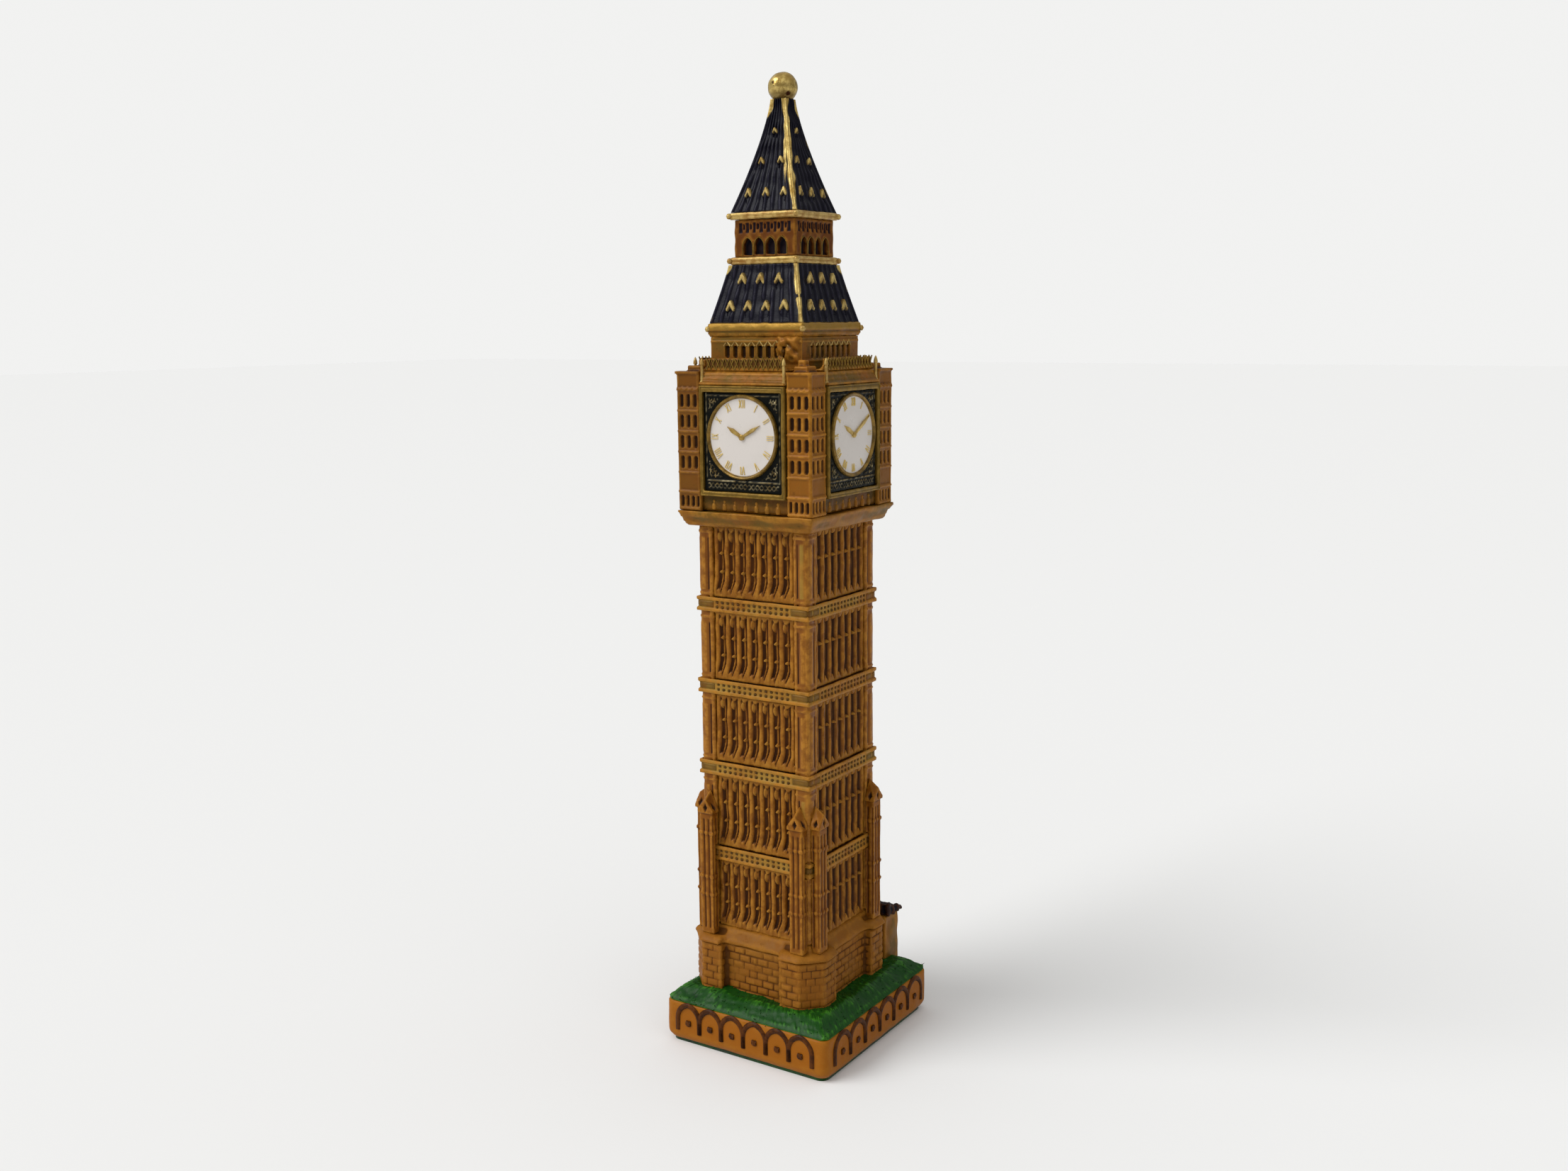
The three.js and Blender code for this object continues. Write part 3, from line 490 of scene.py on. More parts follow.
def note_proud(mesh, passes=14):
    """Stores how far each point stands out from the smoothed surface, for the wash and the edges."""
    edges = np.empty(len(mesh.edges) * 2, np.int32)
    mesh.edges.foreach_get("vertices", edges)
    first, second = edges.reshape(-1, 2).T
    count = len(mesh.vertices)
    points = coordinates(mesh)
    spans = np.linalg.norm(points[first] - points[second], axis=1)
    short = spans < 4 * np.median(spans)
    first, second = first[short], second[short]
    links = np.bincount(first, minlength=count) + np.bincount(second, minlength=count)
    smoothed = points.copy()
    for _ in range(passes):
        total = np.empty_like(smoothed)
        for axis in range(3):
            column = smoothed[:, axis]
            total[:, axis] = np.bincount(first, column[second], count)
            total[:, axis] += np.bincount(second, column[first], count)
        smoothed = total / np.maximum(links, 1)[:, None]
    set_attribute(mesh, "proud", ((points - smoothed) * directions(mesh)).sum(1))


def evaluated(piece):
    """The plain mesh that an object's modifiers make; the object is removed."""
    bpy.context.view_layer.update()
    graph = bpy.context.evaluated_depsgraph_get()
    mesh = bpy.data.meshes.new_from_object(
        piece.evaluated_get(graph), preserve_all_data_layers=True, depsgraph=graph
    )
    bpy.data.objects.remove(piece)
    return mesh


def temporary(mesh):
    piece = bpy.data.objects.new("unfinished", mesh)
    bpy.context.scene.collection.objects.link(piece)
    return piece


def casting(node, spacing, carve=None, soften=2):
    """A close-meshed copy of a solid with soft edges, pushed in and out by carve.

    carve takes (face, u, w, z, flat, points) for every point: the face it looks to, its places along
    that face, out from the axis and up, and how squarely it faces outwards. It returns the push, or
    the push and a dictionary of attributes.
    """
    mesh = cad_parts[node].data.copy()
    mesh.materials.clear()
    work = bmesh.new()
    work.from_mesh(mesh)
    bmesh.ops.scale(work, vec=(1 / MM,) * 3, verts=work.verts)
    bmesh.ops.remove_doubles(work, verts=work.verts, dist=0.001)
    work.to_mesh(mesh)
    work.free()
    piece = temporary(mesh)
    remesh = piece.modifiers.new("Grain", "REMESH")
    remesh.mode = "VOXEL"
    remesh.voxel_size = spacing
    remesh.use_smooth_shade = True
    easing = piece.modifiers.new("Soft edges", "SMOOTH")
    easing.factor = 0.5
    easing.iterations = soften
    mesh = evaluated(piece)
    points, normals = coordinates(mesh), directions(mesh)
    push = lumps(points, 5, 3) * grain("unevenness")
    marks = {}
    if carve:
        found = carve(*face_places(points, normals), points)
        more, marks = found if isinstance(found, tuple) else (found, {})
        push = push + more
    set_coordinates(mesh, points + normals * push[:, None])
    for name, values in marks.items():
        set_attribute(mesh, name, values)
    return mesh


def face_places(points, normals):
    outward = np.stack([-normals[:, 1], normals[:, 0], normals[:, 1], -normals[:, 0]])
    face = outward.argmax(0)
    x, y, z = points.T
    u = np.choose(face, [x, y, -x, -y])
    w = np.choose(face, [-y, x, y, -x])
    return face, u, w, z, smooth((outward.max(0) - 0.55) / 0.3)


def finish_piece(name, mesh, material, replaces=(), proud=True, sharp=None):
    """Scales a mesh to metres and makes it a piece that stands on the tower's body."""
    if proud:
        note_proud(mesh)
    mesh.transform(Matrix.Scale(MM, 4))
    mesh.materials.clear()
    mesh.materials.append(material)
    mesh.polygons.foreach_set("use_smooth", [True] * len(mesh.polygons))
    if sharp:
        mesh.set_sharp_from_angle(angle=math.radians(sharp))
    mesh.update()
    piece = bpy.data.objects.new(name, mesh)
    bpy.context.scene.collection.objects.link(piece)
    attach(piece, BODY)
    if replaces:
        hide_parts(*replaces)
    return piece


def slab(us, zs, out, back):
    """A closed relief: a grid whose points stand at distance out from the axis, with a flat back."""
    columns, rows = len(us), len(zs)
    along, up = np.meshgrid(us, zs)
    front = np.column_stack([along.ravel(), -out.ravel(), up.ravel()])
    index = np.arange(rows * columns).reshape(rows, columns)
    quads = np.stack([index[:-1, :-1], index[:-1, 1:], index[1:, 1:], index[1:, :-1]], -1).reshape(-1, 4)
    rim = np.concatenate([index[0, :-1], index[:-1, -1], index[-1, :0:-1], index[:0:-1, 0]])
    behind = front[rim].copy()
    behind[:, 1] = -back
    middle = np.array([[us.mean(), -back, zs.mean()]])
    first = rows * columns + np.arange(len(rim))
    second = np.roll(first, -1)
    walls = np.column_stack([rim, first, second, np.roll(rim, -1)])
    cover = np.column_stack([second, first, np.full(len(rim), first[-1] + 1)])
    return np.concatenate([front, behind, middle]), [quads, walls, cover]


def steps(start, end, spacing):
    return np.linspace(start, end, max(2, round((end - start) / spacing) + 1))


def four_sided(half_at, zs, columns, relief):
    """A closed four-sided shape whose half-width follows half_at(z), with relief(t, u, z, face) on it.

    t runs from -1 to 1 across a face. Both faces must agree at a corner.
    """
    t = np.linspace(-1, 1, columns + 1)[:-1]
    halves = half_at(zs)
    rings = []
    for face in range(4):
        t_grid, z_grid = np.meshgrid(t, zs)
        half = np.repeat(halves[:, None], columns, 1)
        corner = half + relief(np.full_like(t_grid, -1), -half, z_grid, face)
        along = t_grid * corner
        out = half + relief(t_grid, along, z_grid, face)
        points = turned(np.column_stack([along.ravel(), -out.ravel(), z_grid.ravel()]), face)
        rings.append(points.reshape(len(zs), columns, 3))
    points = np.concatenate(rings, 1)
    around = columns * 4
    index = np.arange(len(zs) * around).reshape(len(zs), around)
    ahead = np.roll(index, -1, 1)
    quads = np.stack([index[:-1], ahead[:-1], ahead[1:], index[1:]], -1).reshape(-1, 4)
    base = len(zs) * around
    ends = np.array([[0, 0, zs[0]], [0, 0, zs[-1]]])
    bottom = np.column_stack([ahead[0], index[0], np.full(around, base)])
    top = np.column_stack([index[-1], ahead[-1], np.full(around, base + 1)])
    return np.concatenate([points.reshape(-1, 3), ends]), [quads, bottom, top]


def spun(profile, segments):
    """A closed turned shape on the z axis from (radius, height) points; the ends are on the axis."""
    angles = np.arange(segments) * 2 * math.pi / segments
    ring = np.column_stack([np.cos(angles), np.sin(angles)])
    body = profile[1:-1]
    points = np.concatenate([np.column_stack([ring * r, np.full(segments, z)]) for r, z in body])
    index = np.arange(len(body) * segments).reshape(len(body), segments)
    ahead = np.roll(index, -1, 1)
    quads = np.stack([index[:-1], ahead[:-1], ahead[1:], index[1:]], -1).reshape(-1, 4)
    base = index.size
    ends = np.array([[0, 0, profile[0][1]], [0, 0, profile[-1][1]]])
    bottom = np.column_stack([ahead[0], index[0], np.full(segments, base)])
    top = np.column_stack([index[-1], ahead[-1], np.full(segments, base + 1)])
    return np.concatenate([points, ends]), [quads, bottom, top]


def to_face(shape, face, out=0.0, up=0.0):
    """A shape whose z axis is turned to look straight out of a face, at height up."""
    points, faces = shape
    x, y, z = points.T
    return turned(np.column_stack([x, -(z + out), y + up]), face), faces


def plate(outline, low_out, high_out, taper=0.75):
    """A small raised plate from an anticlockwise outline of (u, v), with sloped edges."""
    outline = np.asarray(outline, float)
    middle = outline.mean(0)
    count = len(outline)
    bottom = np.column_stack([outline, np.full(count, low_out)])
    top = np.column_stack([middle + (outline - middle) * taper, np.full(count, high_out)])
    ends = np.array([[*middle, low_out], [*middle, high_out]])
    index = np.arange(count)
    ahead = np.roll(index, -1)
    quads = np.column_stack([index, ahead, ahead + count, index + count])
    base = np.column_stack([ahead, index, np.full(count, 2 * count)])
    cap = np.column_stack([index + count, ahead + count, np.full(count, 2 * count + 1)])
    return np.concatenate([bottom, top, ends]), [quads, base, cap]


# ---- Geometry Nodes -----------------------------------------------------------------------------
def new_tree(name, inputs):
    tree = bpy.data.node_groups.new(name, "GeometryNodeTree")
    tree.interface.new_socket("Geometry", in_out="OUTPUT", socket_type="NodeSocketGeometry")
    tree.interface.new_socket("Geometry", in_out="INPUT", socket_type="NodeSocketGeometry")
    for label, kind, default in inputs:
        socket = tree.interface.new_socket(label, in_out="INPUT", socket_type="NodeSocket" + kind)
        if default is not None:
            socket.default_value = default
    given = tree.nodes.new("NodeGroupInput").outputs
    return tree, given


def end_tree(tree, given, geometry):
    realized = add_node(tree, "GeometryNodeRealizeInstances", {"Geometry": geometry}).outputs[0]
    painted = add_node(tree, "GeometryNodeSetMaterial", {"Geometry": realized, "Material": given["Material"]})
    result = tree.nodes.new("NodeGroupOutput")
    tree.links.new(painted.outputs[0], result.inputs[0])


def rows_tree():
    """Copies the incoming shape in rows on the faces, turned about the tower's axis."""
    name = "Rows on the faces"
    if name in bpy.data.node_groups:
        return bpy.data.node_groups[name]
    tree, given = new_tree(name, [
        ("Count", "Int", 3), ("Pitch", "Float", 1.0), ("Rows", "Int", 1), ("Row Pitch", "Float", 1.0),
        ("Out", "Float", 1.0), ("Height", "Float", 1.0), ("Lean", "Float", 0.0), ("Faces", "Int", 4),
        ("Unevenness", "Float", 0.05), ("Seed", "Int", 1), ("Material", "Material", None),
    ])

    def span(count, pitch):
        return calculate(tree, "MULTIPLY", calculate(tree, "SUBTRACT", given[count], 1), given[pitch])

    grid = add_node(tree, "GeometryNodeMeshGrid", {
        "Size X": span("Count", "Pitch"), "Size Y": span("Rows", "Row Pitch"),
        "Vertices X": given["Count"], "Vertices Y": given["Rows"],
    }).outputs[0]
    away = calculate(tree, "MULTIPLY", given["Out"], -1)
    place = add_node(tree, "ShaderNodeCombineXYZ", {"Y": away, "Z": given["Height"]}).outputs[0]
    stand = add_node(tree, "GeometryNodeTransform", {
        "Geometry": grid, "Translation": place, "Rotation": Euler((math.pi / 2, 0, 0)),
    }).outputs[0]
    least = calculate(tree, "SUBTRACT", 1, given["Unevenness"])
    most = calculate(tree, "ADD", 1, given["Unevenness"])
    size = add_node(
        tree, "FunctionNodeRandomValue", {2: least, 3: most, "Seed": given["Seed"]}, data_type="FLOAT"
    )
    back = calculate(tree, "MULTIPLY", given["Lean"], -1)
    lean = add_node(tree, "ShaderNodeCombineXYZ", {"X": back}).outputs[0]
    leaning = add_node(tree, "FunctionNodeEulerToRotation", {0: lean}).outputs[0]
    row = add_node(tree, "GeometryNodeInstanceOnPoints", {
        "Points": stand, "Instance": given["Geometry"], "Rotation": leaning, "Scale": size.outputs[1],
    }).outputs[0]
    hubs = add_node(tree, "GeometryNodeMeshLine", {"Count": given["Faces"], "Offset": (0, 0, 0)}).outputs[0]
    index = add_node(tree, "GeometryNodeInputIndex").outputs[0]
    angle = calculate(tree, "MULTIPLY", index, math.pi / 2)
    turn = add_node(tree, "ShaderNodeCombineXYZ", {"Z": angle}).outputs[0]
    turning = add_node(tree, "FunctionNodeEulerToRotation", {0: turn}).outputs[0]
    faces = add_node(tree, "GeometryNodeInstanceOnPoints", {
        "Points": hubs, "Instance": row, "Rotation": turning,
    }).outputs[0]
    end_tree(tree, given, faces)
    return tree


def bars_tree():
    """Turns the edges of the incoming shape into round bars."""
    name = "Round bars"
    if name in bpy.data.node_groups:
        return bpy.data.node_groups[name]
    tree, given = new_tree(name, [
        ("Radius", "Float", 0.5), ("Sides", "Int", 8), ("Material", "Material", None),
    ])
    curve = add_node(tree, "GeometryNodeMeshToCurve", {"Mesh": given["Geometry"]}).outputs[0]
    ring = add_node(tree, "GeometryNodeCurvePrimitiveCircle", {
        "Radius": given["Radius"], "Resolution": given["Sides"],
    }).outputs[0]
    bars = add_node(tree, "GeometryNodeCurveToMesh", {
        "Curve": curve, "Profile Curve": ring, "Fill Caps": True,
    }).outputs[0]
    end_tree(tree, given, bars)
    return tree


def blades_tree():
    """Plants blades on the incoming bank, outside a square of half-width Clear."""
    name = "Grass blades"
    if name in bpy.data.node_groups:
        return bpy.data.node_groups[name]
    tree, given = new_tree(name, [
        ("Density", "Float", 1.0), ("Clear", "Float", 16.0), ("Length", "Float", 2.0),
        ("Radius", "Float", 0.2), ("Seed", "Int", 4), ("Material", "Material", None),
    ])
    place = add_node(tree, "GeometryNodeInputPosition").outputs[0]
    apart = add_node(tree, "ShaderNodeSeparateXYZ", {0: place})
    reach = calculate(tree, "MAXIMUM", calculate(tree, "ABSOLUTE", apart.outputs[0]),
                      calculate(tree, "ABSOLUTE", apart.outputs[1]))
    outside = calculate(tree, "GREATER_THAN", reach, given["Clear"])
    spots = add_node(tree, "GeometryNodeDistributePointsOnFaces", {
        "Mesh": given["Geometry"], "Selection": outside, "Density": given["Density"], "Seed": given["Seed"],
    })
    blade = add_node(tree, "GeometryNodeMeshCone", {
        "Vertices": 5, "Radius Top": 0.0, "Radius Bottom": given["Radius"], "Depth": given["Length"],
    }).outputs["Mesh"]
    flat = add_node(tree, "GeometryNodeTransform", {"Geometry": blade, "Scale": (1, 0.55, 1)}).outputs[0]
    tilt = add_node(tree, "FunctionNodeRandomValue", {
        0: (0.8, 0, -math.pi), 1: (1.35, 0, math.pi), "Seed": given["Seed"],
    }, data_type="FLOAT_VECTOR").outputs[0]
    order = add_node(tree, "ShaderNodeSeparateXYZ", {0: tilt})
    spin = add_node(tree, "ShaderNodeCombineXYZ", {"Z": order.outputs[2]}).outputs[0]
    bow = add_node(tree, "ShaderNodeCombineXYZ", {"X": order.outputs[0]}).outputs[0]
    turning = add_node(tree, "FunctionNodeRotateRotation", {
        0: spots.outputs["Rotation"], 1: add_node(tree, "FunctionNodeEulerToRotation", {0: spin}).outputs[0],
    }, rotation_space="LOCAL").outputs[0]
    bowed = add_node(tree, "FunctionNodeRotateRotation", {
        0: turning, 1: add_node(tree, "FunctionNodeEulerToRotation", {0: bow}).outputs[0],
    }, rotation_space="LOCAL").outputs[0]
    size = add_node(
        tree, "FunctionNodeRandomValue", {2: 0.6, 3: 1.2, "Seed": given["Seed"]}, data_type="FLOAT"
    )
    planted = add_node(tree, "GeometryNodeInstanceOnPoints", {
        "Points": spots.outputs["Points"], "Instance": flat, "Rotation": bowed, "Scale": size.outputs[1],
    }).outputs[0]
    end_tree(tree, given, planted)
    return tree


def run_tree(tree, mesh, **values):
    """The plain mesh that a tree makes from a mesh, with its named inputs set."""
    piece = temporary(mesh)
    modifier = piece.modifiers.new(tree.name, "NODES")
    modifier.node_group = tree
    for item in tree.interface.items_tree:
        if item.in_out == "INPUT" and item.name in values:
            modifier[item.identifier] = values.pop(item.name)
    if values:
        raise ValueError(f"{tree.name} has no input {sorted(values)}")
    return evaluated(piece)


def rows(mesh, material, **values):
    return run_tree(rows_tree(), mesh, Material=material, **values)


def bars(lines, radius, material, sides=8):
    """Round bars along lines of (u, v) points, looking out of the front face."""
    mesh = bpy.data.meshes.new("lines")
    points, edges = [], []
    for line, closed in lines:
        first = len(points)
        points += [(u, 0, v) for u, v in line]
        edges += [(first + i, first + i + 1) for i in range(len(line) - 1)]
        if closed:
            edges.append((len(points) - 1, first))
    mesh.from_pydata(points, edges, [])
    return run_tree(bars_tree(), mesh, Radius=radius, Sides=sides, Material=material)


def arc(centre, radius, start, end, count=9):
    angles = np.radians(np.linspace(start, end, count))
    return [(centre[0] + radius * math.cos(a), centre[1] + radius * math.sin(a)) for a in angles]


def pointed_arch(half, foot, spring, crown):
    """The line of a pointed arch, from its left foot over the crown to its right foot."""
    points_each_side = 7
    rise = crown - spring
    radius = (half * half + rise * rise) / (2 * half)
    angles = np.linspace(0, math.asin(min(1, rise / radius)), points_each_side)
    right = [(half - radius + radius * math.cos(a), spring + radius * math.sin(a)) for a in angles]
    left = [(-u, v) for u, v in right]
    return [(-half, foot)] + left + right[::-1][1:] + [(half, foot)]


def rough_cast(height, size, seed):
    """A carving that only makes a surface uneven."""
    return lambda face, u, w, z, flat, points: height * lumps(points, size, seed)


# ---- Plinth and walls ---------------------------------------------------------------------------
class TOWER_OT_plinth(bpy.types.Operator):
    """Makes the plinth, its frieze of arches, the felt pad and the grass bank"""

    bl_idname = "tower.plinth"
    bl_label = "Plinth and grass"

    def execute(self, context):
        mesh = casting("plinth", grain("coarse"), rough_cast(0.08, 16, 8), 3)
        finish_piece("plinth_cast", mesh, plinth_paint(), ["plinth"])
        self.add_frieze(context)
        self.add_grass(context)
        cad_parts["felt_pad"].data.materials.clear()
        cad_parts["felt_pad"].data.materials.append(felt())
        return {"FINISHED"}

    def add_frieze(self, context):
        foot, top = low("plinth"), high("plinth")
        corner, stroke, flatness = 4.2, 0.72, 0.7
        share_tall, share_up = 0.47, 0.42
        boss_reach, boss_drop = 0.72, 1.35
        count = context.scene.tower_cast.frieze
        tall = (top.z - foot.z) * share_tall
        shapes = []
        for face, (wide, out) in enumerate(self.face_sizes(foot, top)):
            pitch = (wide - 2 * corner) / count
            half = pitch * 0.5
            lines = []
            for i in range(count):
                middle = corner - wide / 2 + pitch * (i + 0.5)
                arch = pointed_arch(half, -tall / 2, -0.4, tall / 2)
                lines.append(([(middle + u, v) for u, v in arch], False))
                for turn in range(4):
                    angle = turn * math.pi / 2
                    lobe = (middle + boss_reach * math.cos(angle), boss_reach * math.sin(angle) - boss_drop)
                    lines.append(([lobe, (middle, -boss_drop)], False))
            mesh = bars(lines, stroke, frieze_paint())
            points = coordinates(mesh)
            points[:, 1] *= flatness
            shift = (foot.x + top.x) / 2 if face % 2 == 0 else (foot.y + top.y) / 2
            points[:, 0] += shift if face in (0, 1) else -shift
            points[:, 1] -= out
            points[:, 2] += foot.z + (top.z - foot.z) * share_up
            set_coordinates(mesh, turned(points, face))
            shapes.append(mesh)
        joined = bmesh.new()
        for mesh in shapes:
            joined.from_mesh(mesh)
        frieze = bpy.data.meshes.new("plinth_frieze")
        joined.to_mesh(frieze)
        joined.free()
        finish_piece("plinth_frieze", frieze, frieze_paint(), sharp=50)

    def face_sizes(self, foot, top):
        across, deep = top.x - foot.x, top.y - foot.y
        return ((across, -foot.y), (deep, top.x), (across, top.y), (deep, -foot.x))

    def add_grass(self, context):
        foot, top = low("grass_mound"), high("grass_mound")
        corner, shoulder, rise = 2.1, 1.1, top.z - foot.z
        step, levels, lip, slope = 0.4, 64, 0.5, 5.2
        middle = np.array([(foot.x + top.x) / 2, (foot.y + top.y) / 2])
        half = np.array([(top.x - foot.x) / 2, (top.y - foot.y) / 2])
        outline = []
        for turn, (sx, sy) in enumerate(((1, -1), (1, 1), (-1, 1), (-1, -1))):
            centre = (sx * (half[0] - corner), sy * (half[1] - corner))
            outline += arc(centre, corner, turn * 90 - 90, turn * 90, 9)
        outline = np.array(outline)
        ring = np.concatenate([
            np.linspace(a, b, max(2, int(np.hypot(*(b - a)) / step)), endpoint=False)
            for a, b in zip(outline, np.roll(outline, -1, 0))
        ])
        shares = np.concatenate([[0.992, 0.999], np.linspace(0.997, 0.42, levels)])
        run = np.cumsum(np.linalg.norm(ring - np.roll(ring, 1, 0), axis=1))
        rings = []
        for level, share in enumerate(shares):
            flat = ring * share
            edge = half - np.abs(flat)
            depth = np.clip(np.minimum(edge[:, 0], edge[:, 1]), 0, None)
            points = np.column_stack([flat + middle, np.zeros(len(flat))])
            height = lip * smooth(depth / shoulder + 0.05) + (rise - lip) * smooth((depth + 0.3) / slope)
            combed = np.column_stack([run, np.full(len(run), share * 22), np.zeros(len(run))])
            blade = 1 - np.abs(lumps(combed * (1, 0.35, 0), 1.1, 5)) + 0.35 * lumps(points, 1.1, 6)
            height += 0.4 * lumps(points, 9, 2) * smooth(depth / 3)
            height += 0.17 * blade * smooth(depth / 0.8 + 0.15)
            points[:, 2] = foot.z - 0.1 + (0 if level == 0 else 0.25 + height)
            rings.append(points)
        count = len(ring)
        index = np.arange(len(rings) * count).reshape(len(rings), count)
        ahead = np.roll(index, -1, 1)
        quads = np.stack([index[:-1], ahead[:-1], ahead[1:], index[1:]], -1).reshape(-1, 4)
        hub = index.size
        ends = np.array([[*middle, foot.z], [*middle, rings[-1][:, 2].mean()]])
        bottom = np.column_stack([ahead[0], index[0], np.full(count, hub)])
        cap = np.column_stack([index[-1], ahead[-1], np.full(count, hub + 1)])
        mesh = make_mesh("grass_bank", [(np.concatenate(rings + [ends]), [quads, bottom, cap])])
        bank = mesh.copy()
        finish_piece("grass_bank", mesh, grass_paint(), ["grass_mound"])
        blades = run_tree(blades_tree(), bank, Material=grass_paint(), Length=1.0, Radius=0.14, Clear=17.5,
                          Density=context.scene.tower_cast.blades / 100)
        set_attribute(blades, "proud", lumps(coordinates(blades), 4, 9) * 0.12)
        finish_piece("grass_blades", blades, grass_paint(), proud=False)


def brickwork(along, up, long, tall, depth):
    """Bricks with uneven faces and sunken joints."""
    bond, drift, uneven, joint_half = 0.5, 0.12, 0.16, 0.34
    row = np.floor(up / tall)
    shifted = along / long + bond * (row % 2) + drift * scatter(row, 3.0, 1.0)
    column = np.floor(shifted)
    to_side = (0.5 - np.abs(shifted - column - 0.5)) * long
    to_bed = (0.5 - np.abs(up / tall - row - 0.5)) * tall
    joint = 1 - smooth(np.minimum(to_side, to_bed) / joint_half)
    level = uneven * scatter(row, column, 2.0)
    return level * (1 - joint) - depth * joint


def around(points):
    """A place round a square plan that runs on over its corners."""
    x, y = points[:, 0], points[:, 1]
    return np.where(x * y < 0, np.sign(x) * (x + y), np.sign(y) * (y - x))


class TOWER_OT_walls(bpy.types.Operator):
    """Makes the brick walls at the tower's foot, the ledge on them and the annex"""

    bl_idname = "tower.walls"
    bl_label = "Foot walls"

    def execute(self, context):
        tall, depth = grain("brick_rows"), grain("joint")
        foot = low("base_walls").z
        half = high("base_walls").x
        long = half / 6

        def bricks(face, u, w, z, flat, points):
            upright = np.maximum(flat, 0.6 * (np.abs(w) > half - 6))
            worn = np.clip(1 + 0.5 * lumps(points, 9, 21), 0.5, 1.3)
            return brickwork(around(points), z - foot, long, tall, depth) * upright * worn

        mesh = casting("base_walls", grain("medium"), bricks)
        finish_piece("brick_walls", mesh, brick_paint(), ["base_walls"])
        mesh = casting("annex_walls", grain("coarse"), rough_cast(0.12, 5, 6), 3)
        finish_piece("annex_brickwork", mesh, gold_stone_paint(), ["annex_walls"])
        mesh = casting("base_ledge", grain("coarse"), rough_cast(0.1, 7, 4), 2)
        finish_piece("sloped_ledge", mesh, brick_paint(), ["base_ledge"])

        def tiles(face, u, w, z, flat, points):
            return 0.3 * lumps(points, 1.9, 5) - 0.15

        mesh = casting("annex_roof", grain("medium"), tiles, 5)
        finish_piece("annex_tiles", mesh, tile_paint(), ["annex_roof"])
        return {"FINISHED"}


# ---- Shaft --------------------------------------------------------------------------------------
def storeys():
    """The lowest and highest heights of each band of tracery between the string courses."""
    bands = [low("tracery_panel_front").z]
    for course in range(1, 5):
        bands += [low(f"string_course_{course}").z, high(f"string_course_{course}").z]
    bands.append(high("tracery_panel_front").z)
    return list(zip(bands[::2], bands[1::2]))


def tracery(u, z, face, bays, half, depth):
    """How far the tracery of one face lies behind its front plane, and where it is gilded and dark.

    The front and back have swaying ribs with leaves at their heads and two rows of knobs. The sides
    have thinner, nearly straight ribs with one row of knobs.
    """
    swaying = face % 2 == 0
    wavy, thick, swelling = (1.0, 0.42, 0.55) if swaying else (0.25, 0.3, 0.2)
    bead_share, darkness = (0.62, 0.25) if swaying else (0.3, 0.7)
    knob_levels = (0.36, 0.62) if swaying else (0.62,)
    knob_half, knob_tall, knob_proud = 0.62, 0.42, 0.32
    push = np.full(u.shape, -depth)
    gilt, ink = np.zeros(u.shape), np.zeros(u.shape)
    pitch = 2 * half / bays
    for number, (foot, top) in enumerate(storeys()):
        inside = (z >= foot) & (z <= top)
        rise = np.clip((z - foot) / (top - foot), 0, 1)
        sway = 1.15 * wavy * smooth((0.3 - rise) / 0.3) - 0.05 * wavy * np.sin(rise * 14 + u * 0.5)
        place = (u + sway) / pitch + bays / 2
        bay = np.floor(place)
        across = (place - bay - 0.5) * pitch
        swell = smooth((0.24 - rise) / 0.2) * swelling
        rib = 1 - smooth((pitch / 2 - np.abs(across) - thick - swell * 0.6) / 0.4)
        rib_height = depth * (0.8 + 0.16 * scatter(bay, float(number), 1.0))
        thin = bead(across - 0.28 * wavy, 0.62, depth * bead_share)
        shape = np.maximum(rib * rib_height, thin)
        head = top - 0.5 - 1.3 * (1 - np.clip(np.abs(across) / (pitch * 0.36), 0, 1) ** 2)
        shape = np.maximum(shape, depth * 0.9 * smooth((z - head) / 0.45))
        sill = foot + 0.9 + 1.7 * np.clip(1 - np.abs(across + 0.3) / (pitch * 0.4), 0, 1)
        shape = np.maximum(shape, depth * 0.78 * smooth((sill - z) / 0.5))
        drop = ((across + 0.45 * wavy) / 0.62) ** 2 + ((rise - 0.86) / 0.09) ** 2
        leaf = np.clip(1.15 - drop, 0, 1)
        shape = np.maximum(shape, depth * 1.15 * wavy * leaf)
        gilt = np.where(inside, 0.35 * wavy * leaf, gilt)
        for level in knob_levels:
            height = z - foot - level * (top - foot)
            knob = ((across - 0.12) / knob_half) ** 2 + (height / knob_tall) ** 2
            bump = np.clip(1.1 - knob, 0, 1)
            shape = np.maximum(shape, (depth + knob_proud) * bump ** 0.6 * (bump > 0))
            gilt = np.where(inside, np.maximum(gilt, 0.45 * smooth(bump / 0.5)), gilt)
        push = np.where(inside, shape - depth, push)
        pale = 0.3 * smooth((rise - 0.72) / 0.2) + 0.3 * smooth((0.2 - rise) / 0.15)
        gilt = np.where(inside, np.maximum(gilt, pale * smooth(shape / depth - 0.3)), gilt)
        slit = smooth((0.45 - shape / depth) / 0.25) * darkness
        ink = np.where(inside, slit, ink)
    return push, gilt, ink


